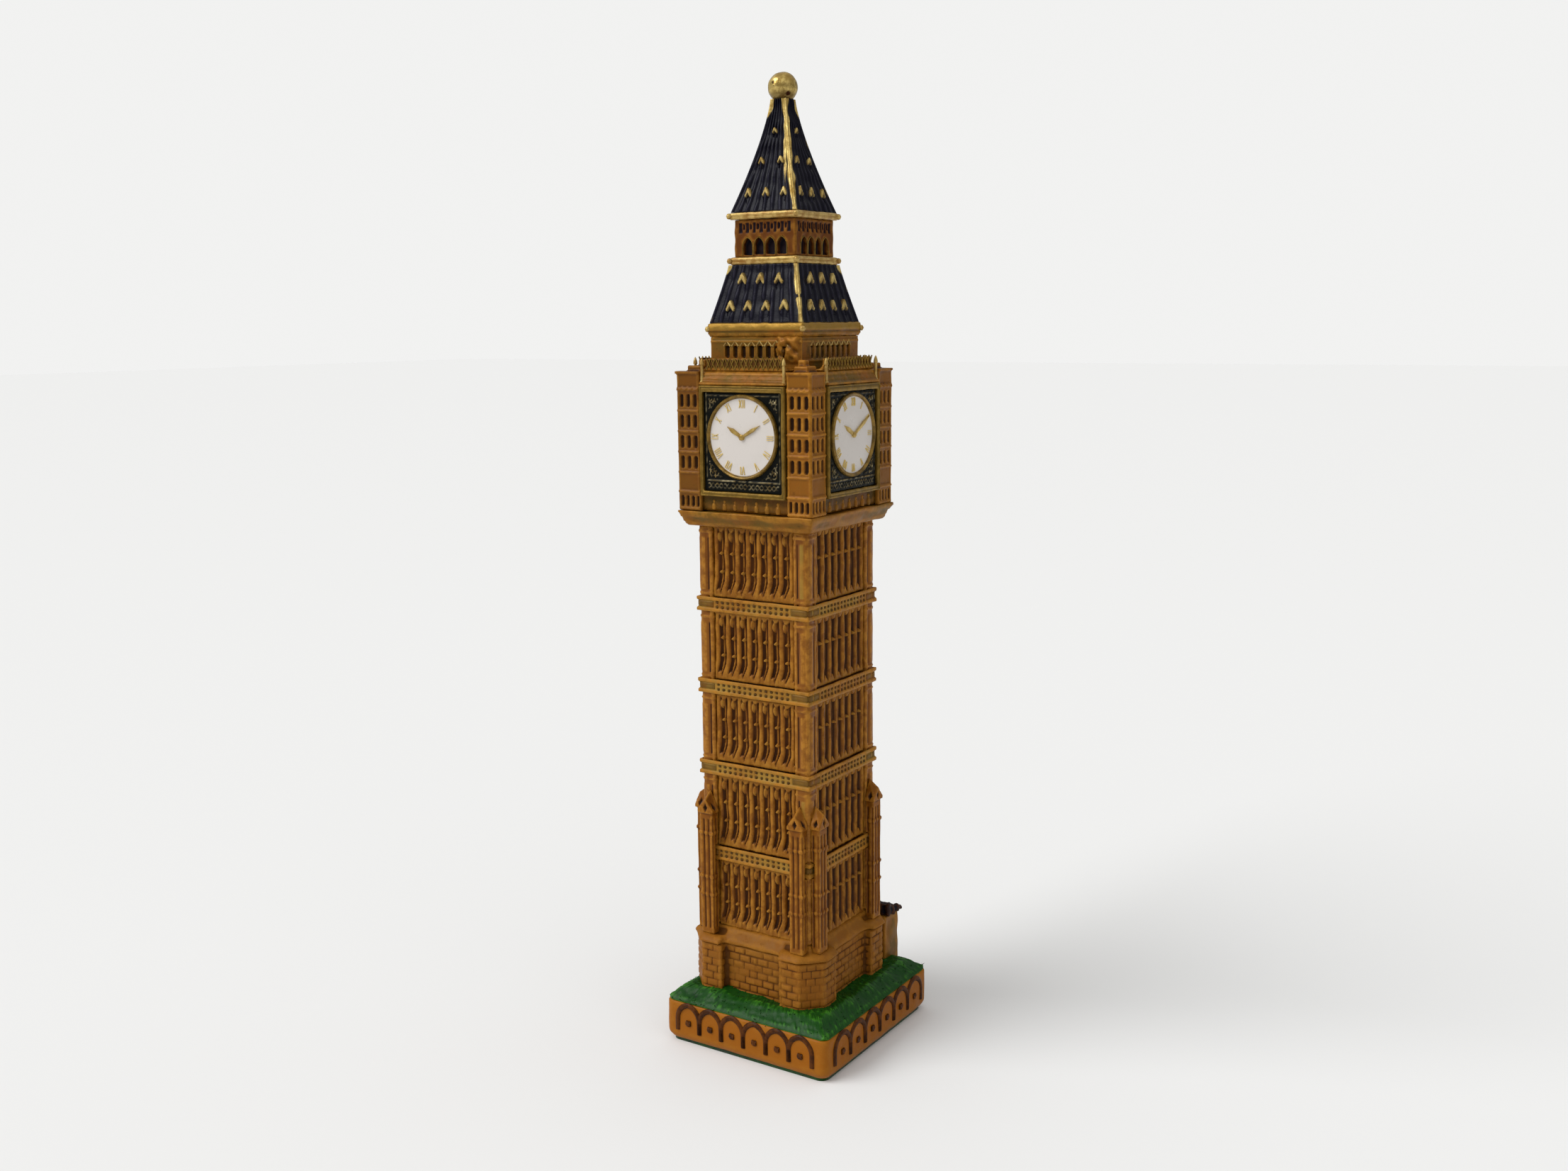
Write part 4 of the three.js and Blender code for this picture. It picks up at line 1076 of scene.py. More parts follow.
class TOWER_OT_shaft(bpy.types.Operator):
    """Makes the tracery, the corner pilasters and the pierced string courses of the shaft"""

    bl_idname = "tower.shaft"
    bl_label = "Shaft"

    def execute(self, context):
        foot, top = low("tracery_panel_front"), high("tracery_panel_front")
        out, half = -foot.y, top.x
        back = -top.y
        margin, depth = 0.6, 1.15
        bays = context.scene.tower_cast.bays
        spacing = grain("relief")
        us, zs = steps(-half, half, spacing), steps(foot.z, top.z, spacing)
        u, z = np.meshgrid(us, zs)
        for face, side in enumerate(FACES):
            push, gilt, ink = tracery(u, z, face, bays, half - margin, depth)
            uneven = lumps(np.column_stack([u.ravel(), z.ravel() + 97 * face, 0 * u.ravel()]), 4, 7)
            push = push + 0.09 * uneven.reshape(u.shape)
            points, faces = slab(us, zs, out + push - 0.05, back + 0.2)
            mesh = make_mesh(f"tracery_{side}", [(turned(points, face), faces)])
            for name, values in (("gilt", gilt), ("inked", ink)):
                whole = np.zeros(len(mesh.vertices))
                whole[: values.size] = values.ravel()
                set_attribute(mesh, name, whole)
            finish_piece(f"tracery_{side}", mesh, stone_paint(), [f"tracery_panel_{side}"])
        for corner in CORNERS:
            node = f"corner_pilaster_{corner}"
            mesh = casting(node, grain("medium"), self.pilaster)
            finish_piece(f"pilaster_{corner}", mesh, pilaster_paint(), [node])
        for number in range(1, 5):
            node = f"string_course_{number}"
            middle = (low(node).z + high(node).z) / 2
            mesh = casting(node, grain("fine"), self.piercing(middle, bays, half - margin), 1)
            finish_piece(f"pierced_course_{number}", mesh, course_paint(), [node])
        self.add_corner_bands()
        return {"FINISHED"}

    def add_corner_bands(self):
        """Closes the shaft's corners between the buttresses at the lowest string course."""
        foot, top = low("string_course_1").z, high("string_course_1").z
        inner, outer = low("corner_pilaster_front_right").x, high("corner_pilaster_front_right").x
        half, tall = (outer - inner) / 2 + 0.05, top - foot
        zs = steps(-0.2, tall + 0.2, 0.25)

        def rings(t, u, z, face):
            rounded = 0.4 * smooth((np.abs(t) - 0.8) / 0.2)
            return bead(z - 0.4, 0.8, 0.25) + bead(z - tall + 0.4, 0.8, 0.25) - rounded

        points, faces = four_sided(lambda z: np.full(z.shape, half), zs, 16, rings)
        centre = (inner + outer) / 2
        unit = make_mesh("band", [(points + (centre, 0, 0), faces)])
        bands = rows(unit, stone_paint(), Count=1, Out=centre, Height=foot, Unevenness=0.0)
        finish_piece("corner_bands", bands, stone_paint())

    def pilaster(self, face, u, w, z, flat, points):
        half = high("shaft_core").x
        across = np.abs(u)
        outer = high("corner_pilaster_front_right").x
        near = outer - across
        # Only the front face of the front-right pilaster is made gold-bright, in the storeys listed here.
        gold_bright_storeys = (1, 4)
        panel = within(near - 1.7, 0.62, 0.2)
        push = bead(near - 3.0, 0.6, -0.4) + 0.16 * panel + bead(near - 0.45, 0.7, 0.12)
        bright = np.zeros(u.shape)
        for number, (foot, top) in enumerate(storeys()):
            inside = (z >= foot) & (z <= top)
            ends = smooth((z - foot - 1.5) / 0.5) * smooth((top - 2.8 - z) / 0.5)
            push = np.where(inside, push * (0.2 + 0.8 * ends), push)
            push = push + bead(z - foot - 0.8, 0.8, 0.22) + bead(z - top + 1.5, 0.7, 0.26)
            gilded = inside & (number in gold_bright_storeys)
            bright = np.where(gilded, panel * ends * (face == 0) * (u > 0), bright)
        on = flat * (across > half - 3)
        return push * on, {"gilt": bright * on * np.clip(0.7 + 0.3 * lumps(points, 4, 3), 0, 1)}

    def piercing(self, middle, bays, half):
        pitch = 2 * half / bays
        hole_half, hole_tall, row_up, sunk = 0.38, 0.34, 0.6, 0.62

        def pierce(face, u, w, z, flat, points):
            place = u / pitch + bays / 2
            across = (place - np.floor(place) - 0.5) * pitch
            beside, above = np.abs(across) - pitch / 4, np.abs(z - middle) - row_up
            hole = np.hypot(beside / hole_half, above / hole_tall)
            depth = smooth((1.15 - hole) / 0.5) * (np.abs(u) < half) * (np.abs(z - middle) < 1.2)
            post = bead(np.abs(across) - pitch / 2, 0.6, 0.16) * (np.abs(z - middle) < 1.3) * (face % 2)
            between = 0.4 * (np.abs(u) > half + 0.3) * within(z - middle, 0.75, 0.4)
            return (post - sunk * depth - between) * flat, {"inked": 0.6 * depth * flat}

        return pierce


class TOWER_OT_buttresses(bpy.types.Operator):
    """Makes the eight gabled buttresses at the foot of the shaft"""

    bl_idname = "tower.buttresses"
    bl_label = "Buttresses"

    def execute(self, context):
        for side in FACES:
            for hand in SIDES:
                node = f"buttress_{side}_{hand}"
                mesh = casting(node, grain("fine"), self.panelled(node), 1)
                finish_piece(f"panelled_{node}", mesh, stone_paint(), [node])
        return {"FINISHED"}

    def panelled(self, node):
        foot, top = low(node), high(node)
        middle_x, middle_y = (foot.x + top.x) / 2, (foot.y + top.y) / 2
        cap_tall, off_cap, off_foot = 5.1, 2.2, 1.2
        groove_out, groove_wide, groove_deep = 0.72, 0.62, 0.36
        gable_half, gable_deep = 0.72, 0.7
        cap = top.z - cap_tall

        def carve(face, u, w, z, flat, points):
            centre = np.choose(face, [middle_x, middle_y, -middle_x, -middle_y])
            across = u - centre
            body = smooth((cap - off_cap - z) / 0.6) * smooth((z - foot.z - off_foot) / 0.6)
            grooves = bead(np.abs(across) - groove_out, groove_wide, -groove_deep) * body
            gable = smooth((gable_half - np.abs(across) - 0.55 * np.abs(z - cap - 0.6)) / 0.35)
            return (grooves - gable_deep * gable) * flat, {"inked": gable * flat}

        return carve


# ---- Clock stage --------------------------------------------------------------------------------
class TOWER_OT_clock_stage(bpy.types.Operator):
    """Makes the corbel, the windowed corner turrets, the gold frames and the little figures"""

    bl_idname = "tower.clock_stage"
    bl_label = "Clock stage"

    def execute(self, context):
        mesh = casting("clock_corbel", grain("coarse"), self.brushed, 2)
        finish_piece("brushed_corbel", mesh, gold_stone_paint(), ["clock_corbel"])
        mesh = casting("clock_stage_core", grain("coarse"), self.strip)
        finish_piece("figure_strip", mesh, gold_stone_paint(), ["clock_stage_core"])
        for corner in CORNERS:
            node = f"corner_turret_{corner}"
            mesh = casting(node, grain("fine"), self.windows, 1)
            finish_piece(f"turret_{corner}", mesh, turret_paint(), [node])
        for side in FACES:
            node = f"clock_frame_{side}"
            mesh = casting(node, grain("fine"), self.moulding, 1)
            finish_piece(f"gilded_frame_{side}", mesh, olive_paint(), [node])
        self.add_figures()
        return {"FINISHED"}

    def brushed(self, face, u, w, z, flat, points):
        return 0.14 * lumps(points * (0.5, 0.5, 2), 5, 12)

    def strip(self, face, u, w, z, flat, points):
        foot = low("clock_stage_core").z
        dark = smooth((foot + 4.2 - z) / 0.4) * flat
        return 0.05 * lumps(points, 1.5, 3) * dark, {"inked": 0.5 * dark}

    def windows(self, face, u, w, z, flat, points):
        outer = high("clock_frame_right").y
        block = high("corner_turret_front_right").x - 0.3
        foot = low("corner_turret_front_right").z
        near = block - np.abs(u)
        on_wall = flat * (np.abs(u) > outer) * (w > block - 1.2)
        slots = np.zeros(u.shape)
        pitch, rows_up, columns = 2.05, 4, 3
        first, tall = foot + 12.2, 5.15
        low_pitch, low_columns, low_up = 1.62, 4, 2.4
        sunk = 0.75

        def cut(across, up, half, straight, head):
            arch = np.hypot(across / half, np.clip(np.abs(up) - straight, 0, None) / head)
            return np.maximum(slots, smooth((1.25 - arch) / 0.5))

        for row in range(rows_up):
            for column in range(columns):
                slots = cut(near - 1.35 - column * pitch, z - first - row * tall, 0.52, 0.95, 0.6)
        for column in range(low_columns):
            slots = cut(near - 1.1 - column * low_pitch, z - foot - low_up, 0.42, 0.8, 0.5)
        bands = sum(bead(z - first - row * tall + tall / 2, 0.7, 0.3) for row in range(rows_up + 1))
        bands = bands + bead(z - foot - 4.7, 0.9, 0.35) + bead(z - foot - 0.5, 0.8, 0.2)
        scallop = bead(z - first - 3.62 * tall + 0.35 * np.abs(np.sin(near * 1.9)), 0.8, 0.3)
        edges = bead(near - 0.35, 0.7, 0.14) + bead(near - 6.4, 0.6, 0.14)
        push = np.maximum(bands + scallop, edges) - sunk * slots
        # Painted shade: the turrets are darkened towards the left and the back, on top of the dark window
        # slots.
        painted_shade_left_back = 0.35 * smooth((-points[:, 0] - 9) / 2) + 0.2 * smooth((points[:, 1] - 9) / 2)
        return push * on_wall, {"inked": np.maximum(0.85 * slots * on_wall, painted_shade_left_back)}

    def moulding(self, face, u, w, z, flat, points):
        foot, top = low("clock_frame_front"), high("clock_frame_front")
        to_edge = np.minimum(np.minimum(top.x - np.abs(u), z - foot.z), top.z - z)
        return (bead(to_edge - 0.24, 0.4, 0.16) + bead(to_edge - 0.5, 0.3, -0.2)) * flat

    def add_figures(self):
        core, frame_foot = low("clock_stage_core"), low("clock_frame_front").z
        out = high("clock_stage_core").x
        tall = (frame_foot - core.z) * 0.7
        body = [(0, -tall / 2), (0.6, -tall * 0.45), (0.72, -tall * 0.2), (0.6, tall * 0.08),
                (0.3, tall * 0.18), (0.46, tall * 0.32), (0.3, tall * 0.46), (0, tall / 2)]
        points, faces = spun(body, 12)
        mesh = make_mesh("figure", [(points * (1, 0.8, 1), faces)])
        figures = rows(mesh, gold_stone_paint(), Count=7, Pitch=3.2, Rows=1, Out=out - 0.15,
                       Height=core.z + tall * 0.62, Unevenness=0.12)
        finish_piece("little_figures", figures, gold_stone_paint(), sharp=60)


class TOWER_OT_dials(bpy.types.Operator):
    """Makes the lace panels, dials, numerals and hands"""

    bl_idname = "tower.dials"
    bl_label = "Dials"

    NUMERALS = ("XII", "I", "II", "III", "IV", "V", "VI", "VII", "VIII", "IX", "X", "XI")

    def execute(self, context):
        foot, top = low("dial_front"), high("dial_front")
        self.radius = (top.x - foot.x) / 2
        self.centre = (foot.z + top.z) / 2
        self.rim_out = -foot.y
        for face, side in enumerate(FACES):
            self.add_panel(face, side)
            self.add_dial(face, side)
            self.add_numerals(face, side)
            self.add_hands(face, side)
        return {"FINISHED"}

    def add_panel(self, face, side):
        foot, top = low("dial_surround_front"), high("dial_surround_front")
        half, out, back = top.x, -foot.y, -top.y
        spacing = grain("lace")
        us, zs = steps(-half, half, spacing), steps(foot.z, top.z, spacing)
        u, z = np.meshgrid(us, zs)
        raised = self.lacework(u, z, half, foot.z, top.z)
        uneven = 0.04 * lumps(np.column_stack([u.ravel(), z.ravel() + 50 * face, 0 * u.ravel()]), 2, 4)
        points, faces = slab(us, zs, out + 0.34 * raised - 0.3 + uneven.reshape(u.shape), back)
        mesh = make_mesh(f"lace_panel_{side}", [(turned(points, face), faces)])
        gilding = np.zeros(len(mesh.vertices))
        places = np.column_stack([u.ravel() + 31 * face, z.ravel(), 0 * u.ravel()])
        worn = lumps(places, 1.6, 5).reshape(u.shape)
        gilding[: u.size] = (raised * np.clip(0.55 + 0.6 * worn, 0, 1)).ravel()
        set_attribute(mesh, "gilt", gilding)
        finish_piece(f"lace_panel_{side}", mesh, panel_paint(), [f"dial_surround_{side}"])

    def lacework(self, u, z, half, foot, top):
        """Raised lines: a border, four spandrels of scrolls round the dial and a strip at the foot."""
        lines = np.zeros(u.shape)
        across, up = np.abs(u), z - self.centre

        def draw(distance, width, keep):
            nonlocal lines
            lines = np.maximum(lines, smooth((width / 2 - np.abs(distance)) / 0.16 + 0.5) * keep)

        strip_top = foot + 2.6
        upper = z > strip_top
        draw(across - half + 0.75, 0.28, 0.4 * upper)
        draw(z - top + 0.75, 0.28, 0.4 * (across < half - 0.6))
        draw(z - strip_top, 0.3, 0.6 * (across < half - 0.6))
        from_dial = np.hypot(u, up) - self.radius
        field = smooth((from_dial - 1.0) / 0.5) * smooth((half - 1.3 - across) / 0.4)
        field = field * smooth((top - 1.3 - z) / 0.4) * smooth((z - strip_top - 0.5) / 0.4)
        places = np.column_stack([across.ravel(), np.abs(up).ravel(), 0 * u.ravel()])
        leaves = (lumps(places, 1.15, 31) + 0.7 * lumps(places, 0.7, 32)).reshape(u.shape)
        lines = np.maximum(lines, smooth((leaves - 0.7) / 0.35) * field)
        for reach, radius in ((12.9, 0.8), (11.9, 0.42)):
            for lobe in (-1, 0, 1):
                angle = math.radians(45 + lobe * (9 if radius > 0.5 else 15))
                spot = np.hypot(across - reach * math.cos(angle), np.abs(up) - reach * math.sin(angle))
                draw(spot - radius, 0.22, 0.6 * (field > 0.3))
        band = z - foot - 1.3
        for lobe in (-1, 1):
            draw(band + lobe * 0.55 * np.sin(u * 2.6), 0.3, 0.45 * (np.abs(band) < 1) * (across < half - 1))
        return lines

    def add_dial(self, face, side):
        rim, radius = self.rim_out, self.radius
        plate_out = rim - 0.7
        profile = [
            (0, rim - 2.0), (radius - 0.1, rim - 2.0), (radius, rim - 1.9), (radius, rim - 0.55),
            (radius - 0.12, rim - 0.2), (radius - 0.35, rim), (radius - 0.55, rim - 0.02),
            (radius - 0.78, rim - 0.25), (radius - 0.9, plate_out + 0.05), (radius - 1.05, plate_out),
            (radius * 0.72, plate_out), (radius * 0.7, plate_out + 0.03), (radius * 0.4, plate_out + 0.05),
            (0, plate_out + 0.06),
        ]
        segments = 96
        shape = spun(profile, segments)
        mesh = make_mesh(f"enamel_dial_{side}", [to_face(shape, face, 0, self.centre)])
        points = shape[0]
        distance = np.hypot(points[:, 0], points[:, 1])
        set_attribute(mesh, "gilt", (distance > radius - 0.95) & (points[:, 2] > rim - 1.95))
        set_attribute(mesh, "proud", np.zeros(len(points)))
        node = f"dial_{side}"
        finish_piece(f"enamel_{node}", mesh, dial_paint(), [node], proud=False, sharp=40)

    def add_numerals(self, face, side):
        plate_out = self.rim_out - 0.66
        tall, stroke = 2.3, 0.085
        shapes = []
        for hour, numeral in enumerate(self.NUMERALS):
            widths = [1.1 if letter in "VX" else 0.46 for letter in numeral]
            place = -sum(widths) / 2
            turn = math.radians(-30 * hour)
            for letter, width in zip(numeral, widths):
                middle = place + width / 2
                place += width
                for start, end in self.strokes(letter, middle, width * 0.36, tall / 2):
                    shapes.append(self.stroke(start, end, stroke, turn, plate_out, face))
        mesh = make_mesh(f"numerals_{side}", shapes)
        finish_piece(f"numerals_{side}", mesh, numeral_paint(), proud=False, sharp=30)

    def strokes(self, letter, middle, half, tall):
        near, far = middle - half, middle + half
        if letter == "I":
            return [((middle, -tall), (middle, tall))]
        if letter == "V":
            return [((near, tall), (middle, -tall)), ((middle, -tall), (far, tall))]
        return [((near, tall), (far, -tall)), ((near, -tall), (far, tall))]

    def stroke(self, start, end, half, turn, out, face):
        (x0, y0), (x1, y1) = start, end
        long = math.hypot(x1 - x0, y1 - y0)
        nx, ny = -(y1 - y0) / long * half, (x1 - x0) / long * half
        outline = [(x0 - nx, y0 - ny), (x1 - nx, y1 - ny), (x1 + nx, y1 + ny), (x0 + nx, y0 + ny)]
        outline = outline if self.area(outline) > 0 else outline[::-1]
        points, faces = plate(outline, -0.1, 0.18)
        points[:, 1] += self.radius * 0.78
        spin = np.array(Matrix.Rotation(turn, 3, "Z"))
        points = points @ spin.T
        return to_face((points, faces), face, out, self.centre)

    def area(self, outline):
        return sum(a[0] * b[1] - b[0] * a[1] for a, b in zip(outline, outline[1:] + outline[:1]))

    def add_hands(self, face, side):
        plate_out = self.rim_out - 0.62
        reach, half = (0.88, 0.42) if face % 2 else (0.6, 0.5)
        to_ten, to_two = math.radians(60), math.radians(-60)
        shapes = [
            self.hand(self.radius * 0.5, 0.62, to_ten, plate_out, face),
            self.hand(self.radius * reach, half, to_two, plate_out + 0.12, face),
            to_face(spun([(0, plate_out - 0.1), (0.7, plate_out - 0.1), (0.72, plate_out + 0.5),
                          (0.45, plate_out + 0.72), (0, plate_out + 0.78)], 24), face, 0, self.centre),
        ]
        mesh = make_mesh(f"kite_hands_{side}", shapes)
        finish_piece(f"kite_hands_{side}", mesh, bright_gold_paint(), [f"clock_hands_{side}"],
                     proud=False, sharp=30)

    def hand(self, reach, half, turn, out, face):
        tail, widest, waist, thick = -0.9, reach * 0.62, reach * 0.84, 0.42
        outline = [(-half * 0.55, tail), (half * 0.55, tail), (half, widest), (half * 0.3, waist),
                   (0, reach), (-half * 0.3, waist), (-half, widest)]
        points, faces = plate(outline, -0.1, thick, 0.8)
        spin = np.array(Matrix.Rotation(turn, 3, "Z"))
        return to_face((points @ spin.T, faces), face, out, self.centre)


# ---- Cornice, parapet and arcade ----------------------------------------------------------------
class TOWER_OT_cornice(bpy.types.Operator):
    """Makes the clock cornice, the lattice cresting, the arcade and its cornice"""

    bl_idname = "tower.cornice"
    bl_label = "Cornice and arcade"

    def execute(self, context):
        foot = low("clock_cornice").z

        def fluted(face, u, w, z, flat, points):
            slope = smooth((z - foot - 1.0) / 0.3) * smooth((high("clock_cornice").z - z) / 0.3)
            return (bead((z - foot) % 1.1 - 0.55, 0.9, 0.12) + 0.05 * lumps(points, 2, 3)) * slope * flat

        mesh = casting("clock_cornice", grain("medium"), fluted, 1)
        finish_piece("fluted_cornice", mesh, cornice_paint(), ["clock_cornice"])
        mesh = casting("roof_parapet", grain("coarse"), self.shaded_wall)
        finish_piece("parapet_wall", mesh, gold_stone_paint(), ["roof_parapet"])
        self.add_cresting()
        mesh = casting("arcade_stage", grain("fine"), self.arches, 1)
        finish_piece("arcade", mesh, gold_stone_paint(), ["arcade_stage"])
        self.add_arcade_hoods()
        top = low("lower_roof").z

        def lined(face, u, w, z, flat, points):
            gilt = 0.85 * smooth((z - top + 1.9) / 0.3)
            return bead(z - top + 2.1, 0.55, -0.3) * flat + 0.05 * lumps(points, 3, 4), {"gilt": gilt}

        mesh = casting("arcade_cornice", grain("medium"), lined, 1)
        finish_piece("gilded_arcade_cornice", mesh, cornice_paint(), ["arcade_cornice"])
        return {"FINISHED"}

    def shaded_wall(self, face, u, w, z, flat, points):
        wall = flat * smooth((z - low("arcade_stage").z) / 0.3) * (np.abs(w) > high("arcade_stage").x + 2)
        return 0 * u, {"inked": 0.75 * wall}

    def add_cresting(self):
        half, tall, count = 11.3, 2.9, 8
        pitch = 2 * half / count
        out, top = -low("roof_parapet").y, high("roof_parapet").z
        lattice = [([(-pitch / 2, 0), (0, tall), (pitch / 2, 0)], False),
                   ([(-pitch / 2, tall), (0, 0.1), (pitch / 2, tall)], False)]
        unit = bars(lattice, 0.18, olive_paint(), 6)
        zigzag = rows(unit, olive_paint(), Count=count, Pitch=pitch, Out=out - 0.1, Height=top - 2.8,
                      Unevenness=0.05)
        finish_piece("zigzag_cresting", zigzag, olive_paint(), sharp=50)
        body = [(0, 0), (0.6, 0), (0.6, 0.6), (0.42, 0.8), (0.38, 4.6), (0.56, 4.8), (0.5, 5.4),
                (0.25, 6.2), (0, 6.6)]
        post = make_mesh("post", [spun(body, 12)])
        foot = low("clock_cornice").z + 0.4
        posts = rows(post, gold_paint(), Count=2, Pitch=24.2, Out=high("clock_cornice").x - 0.9, Height=foot)
        finish_piece("cresting_posts", posts, gold_paint(), sharp=40)

    def arches(self, face, u, w, z, flat, points):
        half = high("arcade_stage").x
        foot = low("arcade_stage").z
        blob = (face == 0) * smooth((3.4 - np.abs(u - 9.6)) / 1.2 + 0.2) * smooth((z - foot - 1.2) / 1)
        fill = np.clip(half - w, 0, 2) * (w > half - 1.4) * (blob > 0.4)
        push = fill + blob * (0.55 + 0.5 * lumps(points, 2.2, 8)) * flat
        slot = (w < half - 0.35) * (w > half - 1.6) * (blob < 0.4) * (np.abs(u) < half - 2)
        rail = bead(z - foot - 1.9, 0.7, 0.2) + bead(z - foot - 6.6, 0.7, 0.2)
        return push + rail * flat * (blob < 0.4), {"inked": 0.8 * slot}

    def add_arcade_hoods(self):
        out, foot = high("arcade_stage").x, low("arcade_stage").z
        hood = bars([([(-1.0, -0.5), (0, 0.75), (1.0, -0.5)], False)], 0.22, gold_paint(), 6)
        hoods = rows(hood, gold_paint(), Count=8, Pitch=2.45, Out=out, Height=foot + 6.0, Unevenness=0.06)
        finish_piece("arcade_hoods", hoods, gold_paint(), sharp=50)


# ---- Roofs and lantern --------------------------------------------------------------------------
def roof_shape(foot_z, top_z, foot_half, tip_half, flare):
    def half_at(z):
        rise = np.clip((z - foot_z) / (top_z - foot_z), 0, 1)
        return tip_half + (foot_half - tip_half) * (1 - rise) ** flare

    return half_at


class TOWER_OT_roofs(bpy.types.Operator):
    """Makes the two ribbed roofs with their dormers and gilded hips, and the ball on top"""

    bl_idname = "tower.roofs"
    bl_label = "Roofs"

    def execute(self, context):
        lower = (low("lower_roof").z, low("lantern_sill").z, high("arcade_stage").x - 0.1, 9.8, 1.1)
        upper = (low("spire").z, high("spire").z, 9.3, 1.95, 1.32)
        self.add_roof("ribbed_roof", "lower_roof", lower, 9)
        self.add_roof("ribbed_spire", "spire", upper, 8)
        # Each row of dormers: how many, their pitch, the height of their foot, how tall and how wide
        lower_rows = ((4, 5.3, 1.5, 4.2, 2.7), (3, 5.4, 8.0, 4.4, 2.8))
        upper_rows = ((3, 5.2, 2.4, 3.6, 2.1), (2, 5.6, 10.6, 2.8, 1.9), (1, 1.0, 18.2, 2.2, 1.6))
        for number, row in enumerate(lower_rows):
            self.add_dormers(f"roof_dormers_{number + 1}", lower, *row)
        for number, row in enumerate(upper_rows):
            self.add_dormers(f"spire_dormers_{number + 1}", upper, *row)
        self.add_ball()
        return {"FINISHED"}

    def add_roof(self, name, node, size, ribs):
        foot_z, top_z = size[:2]
        half_at = roof_shape(*size)
        zs = steps(foot_z, top_z, grain("relief"))

        def relief(t, u, z, face):
            half = half_at(z)
            near = half * (1 - np.abs(t))
            place = (t * 0.5 + 0.5) * ribs
            across = np.abs(place - np.round(place)) * 2 * half / ribs
            points = np.column_stack([(u + 40 * face).ravel(), z.ravel(), 0 * z.ravel()])
            uneven = lumps(points, 3, 6).reshape(z.shape) * smooth(near / 0.6)
            rib = bead(across, np.minimum(1.15, 1.2 * half / ribs), 0.5) * (0.75 + 0.4 * uneven)
            roll = bead(near, 1.5, 0.3)
            return np.where(near > 0.7, np.maximum(rib, roll), roll) + 0.07 * uneven

        columns = 96
        points, faces = four_sided(half_at, zs, columns, relief)
        mesh = make_mesh(name, [(points, faces)])
        half = half_at(points[:, 2])
        on_face = np.minimum(np.abs(points[:, 0]), np.abs(points[:, 1]))
        near = np.maximum(half - on_face, 0)
        wave = lumps(points * (0.3, 0.3, 1), 5, 11)
        shown = (points[:, 1] < 0) & (points[:, 0] > 0)
        rise = (points[:, 2] - foot_z) / (top_z - foot_z)
        drip_top, chip_up = 18.5, 6.4
        below = foot_z + drip_top - points[:, 2]
        drip = 0.42 * smooth((12.5 - below) / 4) * smooth(below / 1.5) - np.abs(near - 0.75 - 0.1 * below)
        drip = smooth(drip / 0.2 + 0.5) * shown * (points[:, 1] < -np.abs(points[:, 0])) * (node == "spire")
        to_chip = np.abs(points[:, 2] - foot_z - chip_up)
        gap = 1 - 0.9 * smooth((0.7 - to_chip) / 0.5) * (node == "lower_roof")
        tip = 0.2 * wave + 0.95 * smooth((rise - 0.8) / 0.16) - 0.2
        wide = np.where(shown, (0.8 + 0.24 * wave) * gap, tip)
        gilding = np.maximum(smooth((wide - near) / 0.25 + 0.5), drip)
        set_attribute(mesh, "gilt", gilding)
        finish_piece(name, mesh, roof_paint(), [node])

    def add_dormers(self, name, size, count, pitch, rise, tall, wide):
        half_at = roof_shape(*size)
        foot, top = size[0] + rise, size[0] + rise + tall
        out = float(half_at(np.array([foot]))[0])
        upper = float(half_at(np.array([top]))[0])
        lean = math.atan2(out - upper, tall)
        us, vs = np.linspace(-wide / 2, wide / 2, 15), np.linspace(-0.2, tall + 0.1, 19)
        u, v = np.meshgrid(us, vs)
        share = np.clip(v / tall, 0, 1)
        widest = 0.48
        swell = 0.6 + 0.4 * smooth(share / widest)
        point = np.sqrt(np.clip(1 - (share - widest) / (1 - widest), 0, 1)) ** 1.4
        hood = np.where(share < widest, swell, point)
        edge = wide / 2 * np.clip(hood, 0.02, 1)
        inside = smooth((edge - np.abs(u)) / 0.2 + 0.2)
        brow = 0.62 - 0.95 * np.abs(u) / wide
        mouth = smooth((brow - share) / 0.08) * smooth((edge - 0.12 - np.abs(u)) / 0.2)
        keel = bead(u, wide * 0.7, 0.25) * (share > 0.4)
        relief = 0.8 * inside * (0.7 + 0.45 * share) - 0.85 * mouth + 0.7 * keel * inside
        points, faces = slab(us, vs, relief - 0.1, -0.6)
        mesh = make_mesh("leaf", [(points, faces)])
        tip = smooth((share - brow + 0.04) / 0.08) * smooth((share - 0.3) / 0.1) * inside
        gilding = np.zeros(len(points))
        gilding[: u.size] = (tip * (0.75 + 0.25 * smooth((np.abs(u) - edge + 0.5) / 0.3))).ravel()
        inking = np.zeros(len(points))
        inking[: u.size] = mouth.ravel()
        set_attribute(mesh, "gilt", gilding)
        set_attribute(mesh, "inked", inking)
        dormers = rows(mesh, roof_paint(), Count=count, Pitch=pitch, Out=out, Height=foot, Lean=lean,
                       Unevenness=0.06)
        finish_piece(name, dormers, roof_paint(), sharp=60)

    def add_ball(self):
        foot, top = low("ball_finial"), high("ball_finial")
        radius = (top.x - foot.x) / 2
        centre = top.z - radius
        seat = 1.9
        start = -math.sqrt(radius * radius - seat * seat)
        profile = [(0, centre + start - 0.3), (seat, centre + start - 0.3)]
        profile += [(radius * math.cos(a), centre + radius * math.sin(a))
                    for a in np.linspace(math.asin(start / radius) + 0.02, math.pi / 2 - 0.06, 40)]
        profile.append((0, top.z))
        mesh = make_mesh("gold_ball", [spun(profile, 72)])
        points = coordinates(mesh)
        set_coordinates(mesh, points + directions(mesh) * (0.05 * lumps(points, 2.6, 4) - 0.05)[:, None])
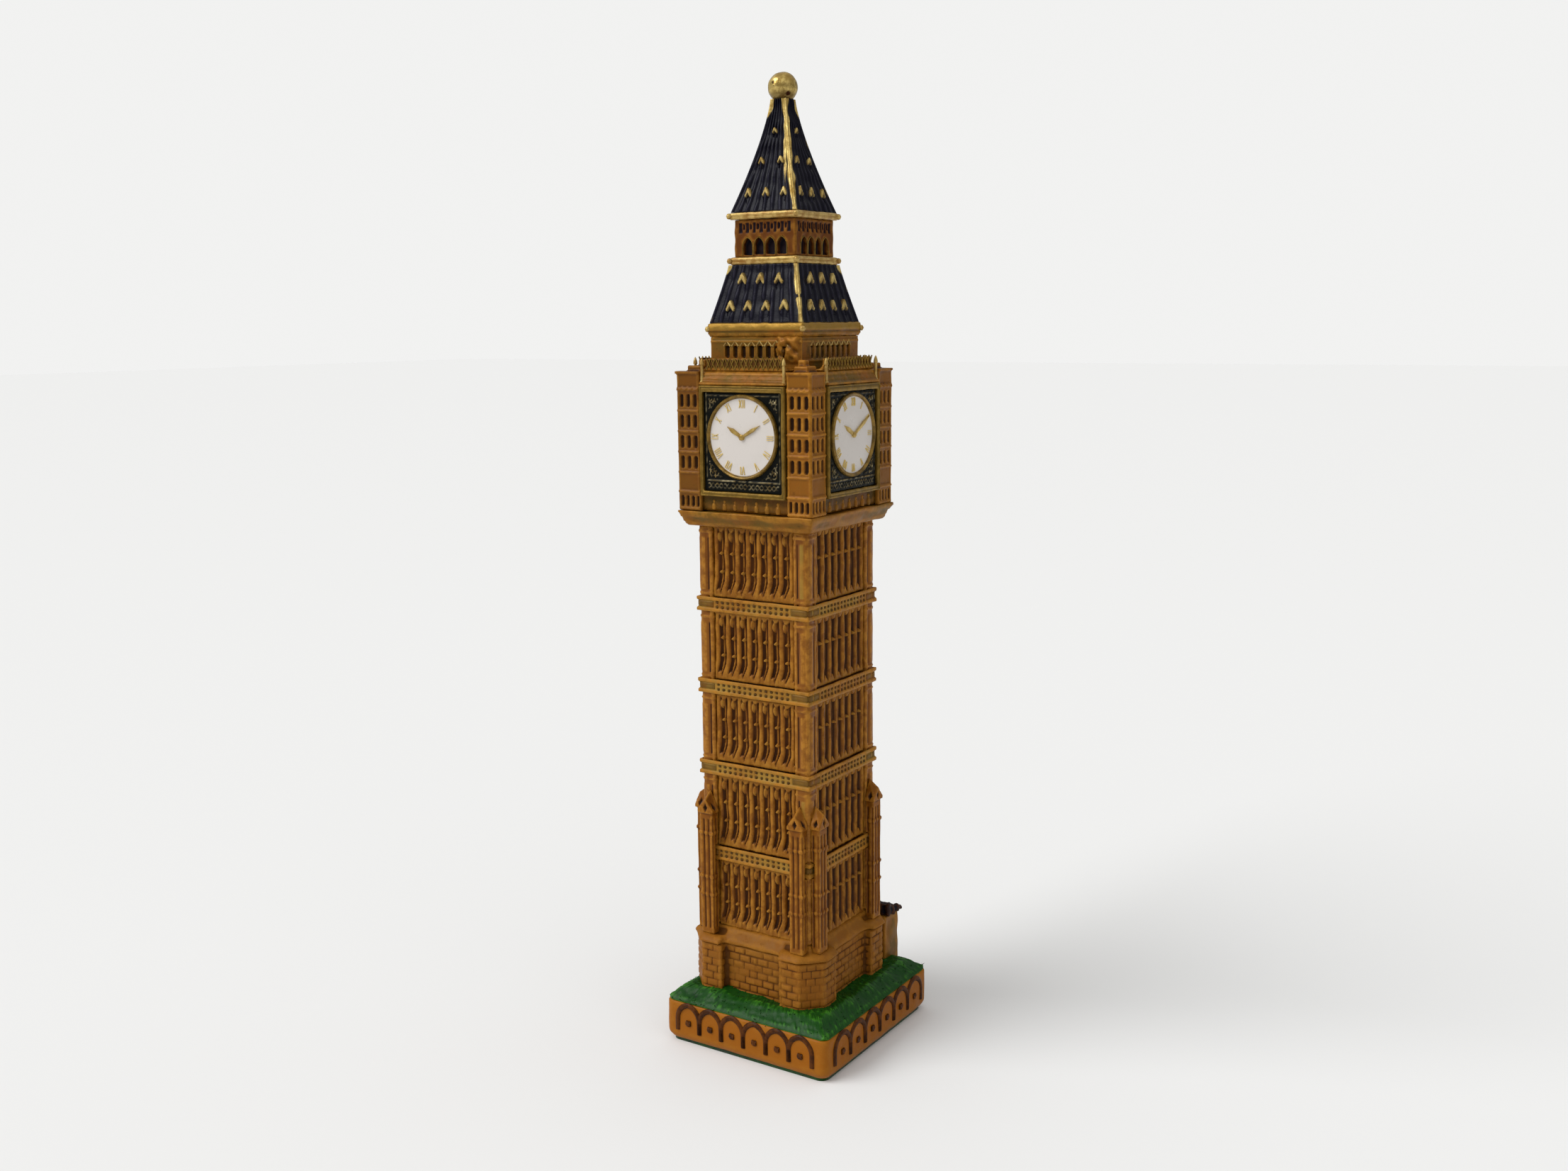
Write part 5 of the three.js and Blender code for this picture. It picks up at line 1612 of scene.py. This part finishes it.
        # Painted shade: the ball is darkened below its middle. The specks and the two spots at given places
        # darken it too.
        painted_shade_under = smooth((centre - 0.5 - points[:, 2]) / 1.6) * 0.6
        specks = smooth((lumps(points, 0.8, 9) - 1.1) / 0.3)
        spots = [smooth((size - np.linalg.norm(points - (x, y, centre + z), axis=1)) / 0.3)
                 for x, y, z, size in ((2.65, -1.8, -1.85, 0.85), (-0.55, -3.55, 0.9, 0.6))]
        set_attribute(mesh, "inked", np.maximum.reduce([painted_shade_under, specks * 0.8, *spots]))
        finish_piece("gold_ball", mesh, ball_paint(), ["ball_finial"])


class TOWER_OT_lantern(bpy.types.Operator):
    """Makes the lantern between the roofs, with its sill, cornice and corner knobs"""

    bl_idname = "tower.lantern"
    bl_label = "Lantern"

    def execute(self, context):
        mesh = casting("lantern", grain("fine"), self.openings, 1)
        finish_piece("lantern_cast", mesh, lantern_paint(), ["lantern"])
        for node in ("lantern_sill", "lantern_cornice"):
            middle = (low(node).z + high(node).z) / 2

            def lined(face, u, w, z, flat, points, middle=middle):
                return bead(z - middle, 0.5, -0.16) * flat + 0.05 * lumps(points, 3, 4)

            mesh = casting(node, grain("medium"), lined, 1)
            finish_piece(f"gilded_{node}", mesh, gold_paint(), [node])
        self.add_knobs()
        self.add_hoods()
        return {"FINISHED"}

    def openings(self, face, u, w, z, flat, points):
        half = high("lantern").x
        foot = low("lantern").z
        deep = (w < half - 0.3) * (w > half - 1.6) * (np.abs(u) < half - 1.6)
        band = within(z - foot - 7.1, 1.2) * within(np.abs(u), half - 1.3) * flat
        slot = smooth((np.abs((u + 1.02) % 2.04 - 1.02) - 0.5) / 0.15) * band
        dark = np.maximum(np.maximum(0.95 * deep, 0.9 * slot), 0.25)
        return 0.08 * lumps(points, 2.5, 2) - 0.35 * slot, {"inked": dark}

    def add_knobs(self):
        ball = spun([(0, -0.75), (0.5, -0.6), (0.78, 0), (0.5, 0.6), (0, 0.75)], 10)
        places = (("arcade_cornice", low("lower_roof").z - 1.5), ("lantern_sill", low("lantern").z - 0.9),
                  ("lantern_cornice", low("spire").z - 0.9))
        points, faces = ball
        for node, up in places:
            half = high(node).x - 0.15
            unit = make_mesh("knob", [(points + (half, 0, 0), faces)])
            knobs = rows(unit, gold_paint(), Count=1, Pitch=1.0, Out=half, Height=up, Unevenness=0.0)
            finish_piece(f"knobs_{node}", knobs, gold_paint(), sharp=60)

    def add_hoods(self):
        out, foot = high("lantern").x, low("lantern").z
        arch = pointed_arch(1.52, 0.4, 2.6, 4.75)
        unit = bars([(arch, False)], 0.13, olive_paint(), 6)
        hoods = rows(unit, olive_paint(), Count=4, Pitch=3.35, Out=out, Height=foot, Unevenness=0.0)
        finish_piece("lantern_hoods", hoods, olive_paint(), sharp=50)


# ---- Solids that stay ---------------------------------------------------------------------------
class TOWER_OT_solids(bpy.types.Operator):
    """Paints the shaft's core, which keeps its own mesh"""

    bl_idname = "tower.solids"
    bl_label = "Plain solids"

    def execute(self, context):
        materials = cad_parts["shaft_core"].data.materials
        materials.clear()
        materials.append(stone_paint())
        return {"FINISHED"}


# ---- Stage --------------------------------------------------------------------------------------
class TOWER_OT_stage(bpy.types.Operator):
    """Makes the pale floor, the soft light and the camera"""

    bl_idname = "tower.stage"
    bl_label = "Stage"

    def execute(self, context):
        settings = context.scene.tower_stage
        self.add_floor(settings)
        self.add_light(context, settings)
        self.add_camera(context, settings)
        return {"FINISHED"}

    def add_floor(self, settings):
        mesh = bpy.data.meshes.new("floor")
        reach = 6.0
        corners = [(-reach, -reach, 0), (reach, -reach, 0), (reach, reach, 0), (-reach, reach, 0)]
        mesh.from_pydata(corners, [], [(0, 1, 2, 3)])
        material = bpy.data.materials.new("floor_card")
        material.use_nodes = True
        shader = material.node_tree.nodes["Principled BSDF"]
        shader.inputs["Base Color"].default_value = (*settings.floor, 1)
        shader.inputs["Roughness"].default_value = 0.85
        shader.inputs["Specular IOR Level"].default_value = 0.2
        mesh.materials.append(material)
        floor = bpy.data.objects.new("floor", mesh)
        bpy.context.scene.collection.objects.link(floor)
        floor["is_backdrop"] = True

    def add_light(self, context, settings):
        world = bpy.data.worlds.new("soft_room")
        world.use_nodes = True
        tree = world.node_tree
        sky = tree.nodes["Background"]
        white = (1, 1, 0.99, 1)
        sky.inputs["Color"].default_value = white
        way = add_node(tree, "ShaderNodeTexCoord").outputs["Generated"]
        up = add_node(tree, "ShaderNodeSeparateXYZ", {0: way}).outputs[2]
        feed(tree, sky.inputs["Strength"], map_range(tree, up, -0.2, 1, settings.horizon, settings.world))
        seen = add_node(tree, "ShaderNodeBackground", {"Color": white, "Strength": settings.backdrop})
        path = add_node(tree, "ShaderNodeLightPath").outputs["Is Camera Ray"]
        both = add_node(tree, "ShaderNodeMixShader", {0: path, 1: sky.outputs[0], 2: seen.outputs[0]})
        tree.links.new(both.outputs[0], tree.nodes["World Output"].inputs[0])
        context.scene.world = world
        context.scene.view_settings.view_transform = "Standard"
        for name, strength, turn, spread in (("key_light", settings.key, (50, 0, -38), 40),
                                             ("fill_light", settings.fill, (55, 0, 62), 60)):
            lamp = bpy.data.lights.new(name, "SUN")
            lamp.energy = strength
            lamp.angle = math.radians(spread)
            light = bpy.data.objects.new(name, lamp)
            light.rotation_euler = Euler([math.radians(angle) for angle in turn])
            context.scene.collection.objects.link(light)

    def add_camera(self, context, settings):
        foot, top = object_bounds()
        target = Vector((0, 0, (foot[2] + top[2]) / 2))
        azimuth, lift = math.radians(settings.azimuth), math.radians(settings.lift)
        pan, tilt, roll = math.radians(-0.130), math.radians(-0.501), math.radians(0.538)
        flat = math.cos(lift)
        back = Vector((math.sin(azimuth) * flat, -math.cos(azimuth) * flat, math.sin(lift)))
        right = Vector((math.cos(azimuth), math.sin(azimuth), 0))
        up = back.cross(right)
        place = target + back * settings.distance
        back, right = self.swung(back, right, pan)
        back, up = self.swung(back, up, tilt)
        right, up = self.swung(right, up, roll)
        lens = bpy.data.cameras.new("camera")
        lens.lens = settings.lens
        lens.sensor_width = 36
        lens.clip_start = 0.01
        camera = bpy.data.objects.new("camera", lens)
        turn = Matrix((right, up, back)).transposed().to_4x4()
        camera.matrix_world = Matrix.Translation(place) @ turn
        context.scene.collection.objects.link(camera)
        context.scene.camera = camera

    def swung(self, first, second, angle):
        """Two directions at right angles, turned in their own plane."""
        cos, sin = math.cos(angle), math.sin(angle)
        return first * cos - second * sin, second * cos + first * sin


class TOWER_PT_panel(bpy.types.Panel):
    """Lists the settings and the steps that build the tower"""

    bl_idname = "TOWER_PT_panel"
    bl_label = "Clock Tower"
    bl_space_type = "VIEW_3D"
    bl_region_type = "UI"
    bl_category = "Clock Tower"

    def draw(self, context):
        layout = self.layout
        for group in (context.scene.tower_cast, context.scene.tower_paint, context.scene.tower_stage):
            box = layout.box()
            for name in group.__annotations__:
                box.prop(group, name)
        for operator in OPERATORS:
            layout.operator(operator.bl_idname)


OPERATORS = (
    TOWER_OT_plinth, TOWER_OT_walls, TOWER_OT_shaft, TOWER_OT_buttresses, TOWER_OT_clock_stage,
    TOWER_OT_dials, TOWER_OT_cornice, TOWER_OT_roofs, TOWER_OT_lantern, TOWER_OT_solids, TOWER_OT_stage,
)
CLASSES = (CastSettings, PaintSettings, StageSettings, *OPERATORS, TOWER_PT_panel)


def register():
    for cls in CLASSES:
        bpy.utils.register_class(cls)
    bpy.types.Scene.tower_cast = PointerProperty(type=CastSettings)
    bpy.types.Scene.tower_paint = PointerProperty(type=PaintSettings)
    bpy.types.Scene.tower_stage = PointerProperty(type=StageSettings)


def unregister():
    for name in ("tower_cast", "tower_paint", "tower_stage"):
        delattr(bpy.types.Scene, name)
    for cls in reversed(CLASSES):
        bpy.utils.unregister_class(cls)


def main():
    register()
    for operator in OPERATORS:
        group, name = operator.bl_idname.split(".")
        getattr(getattr(bpy.ops, group), name)()


if __name__ == "__main__":
    main()
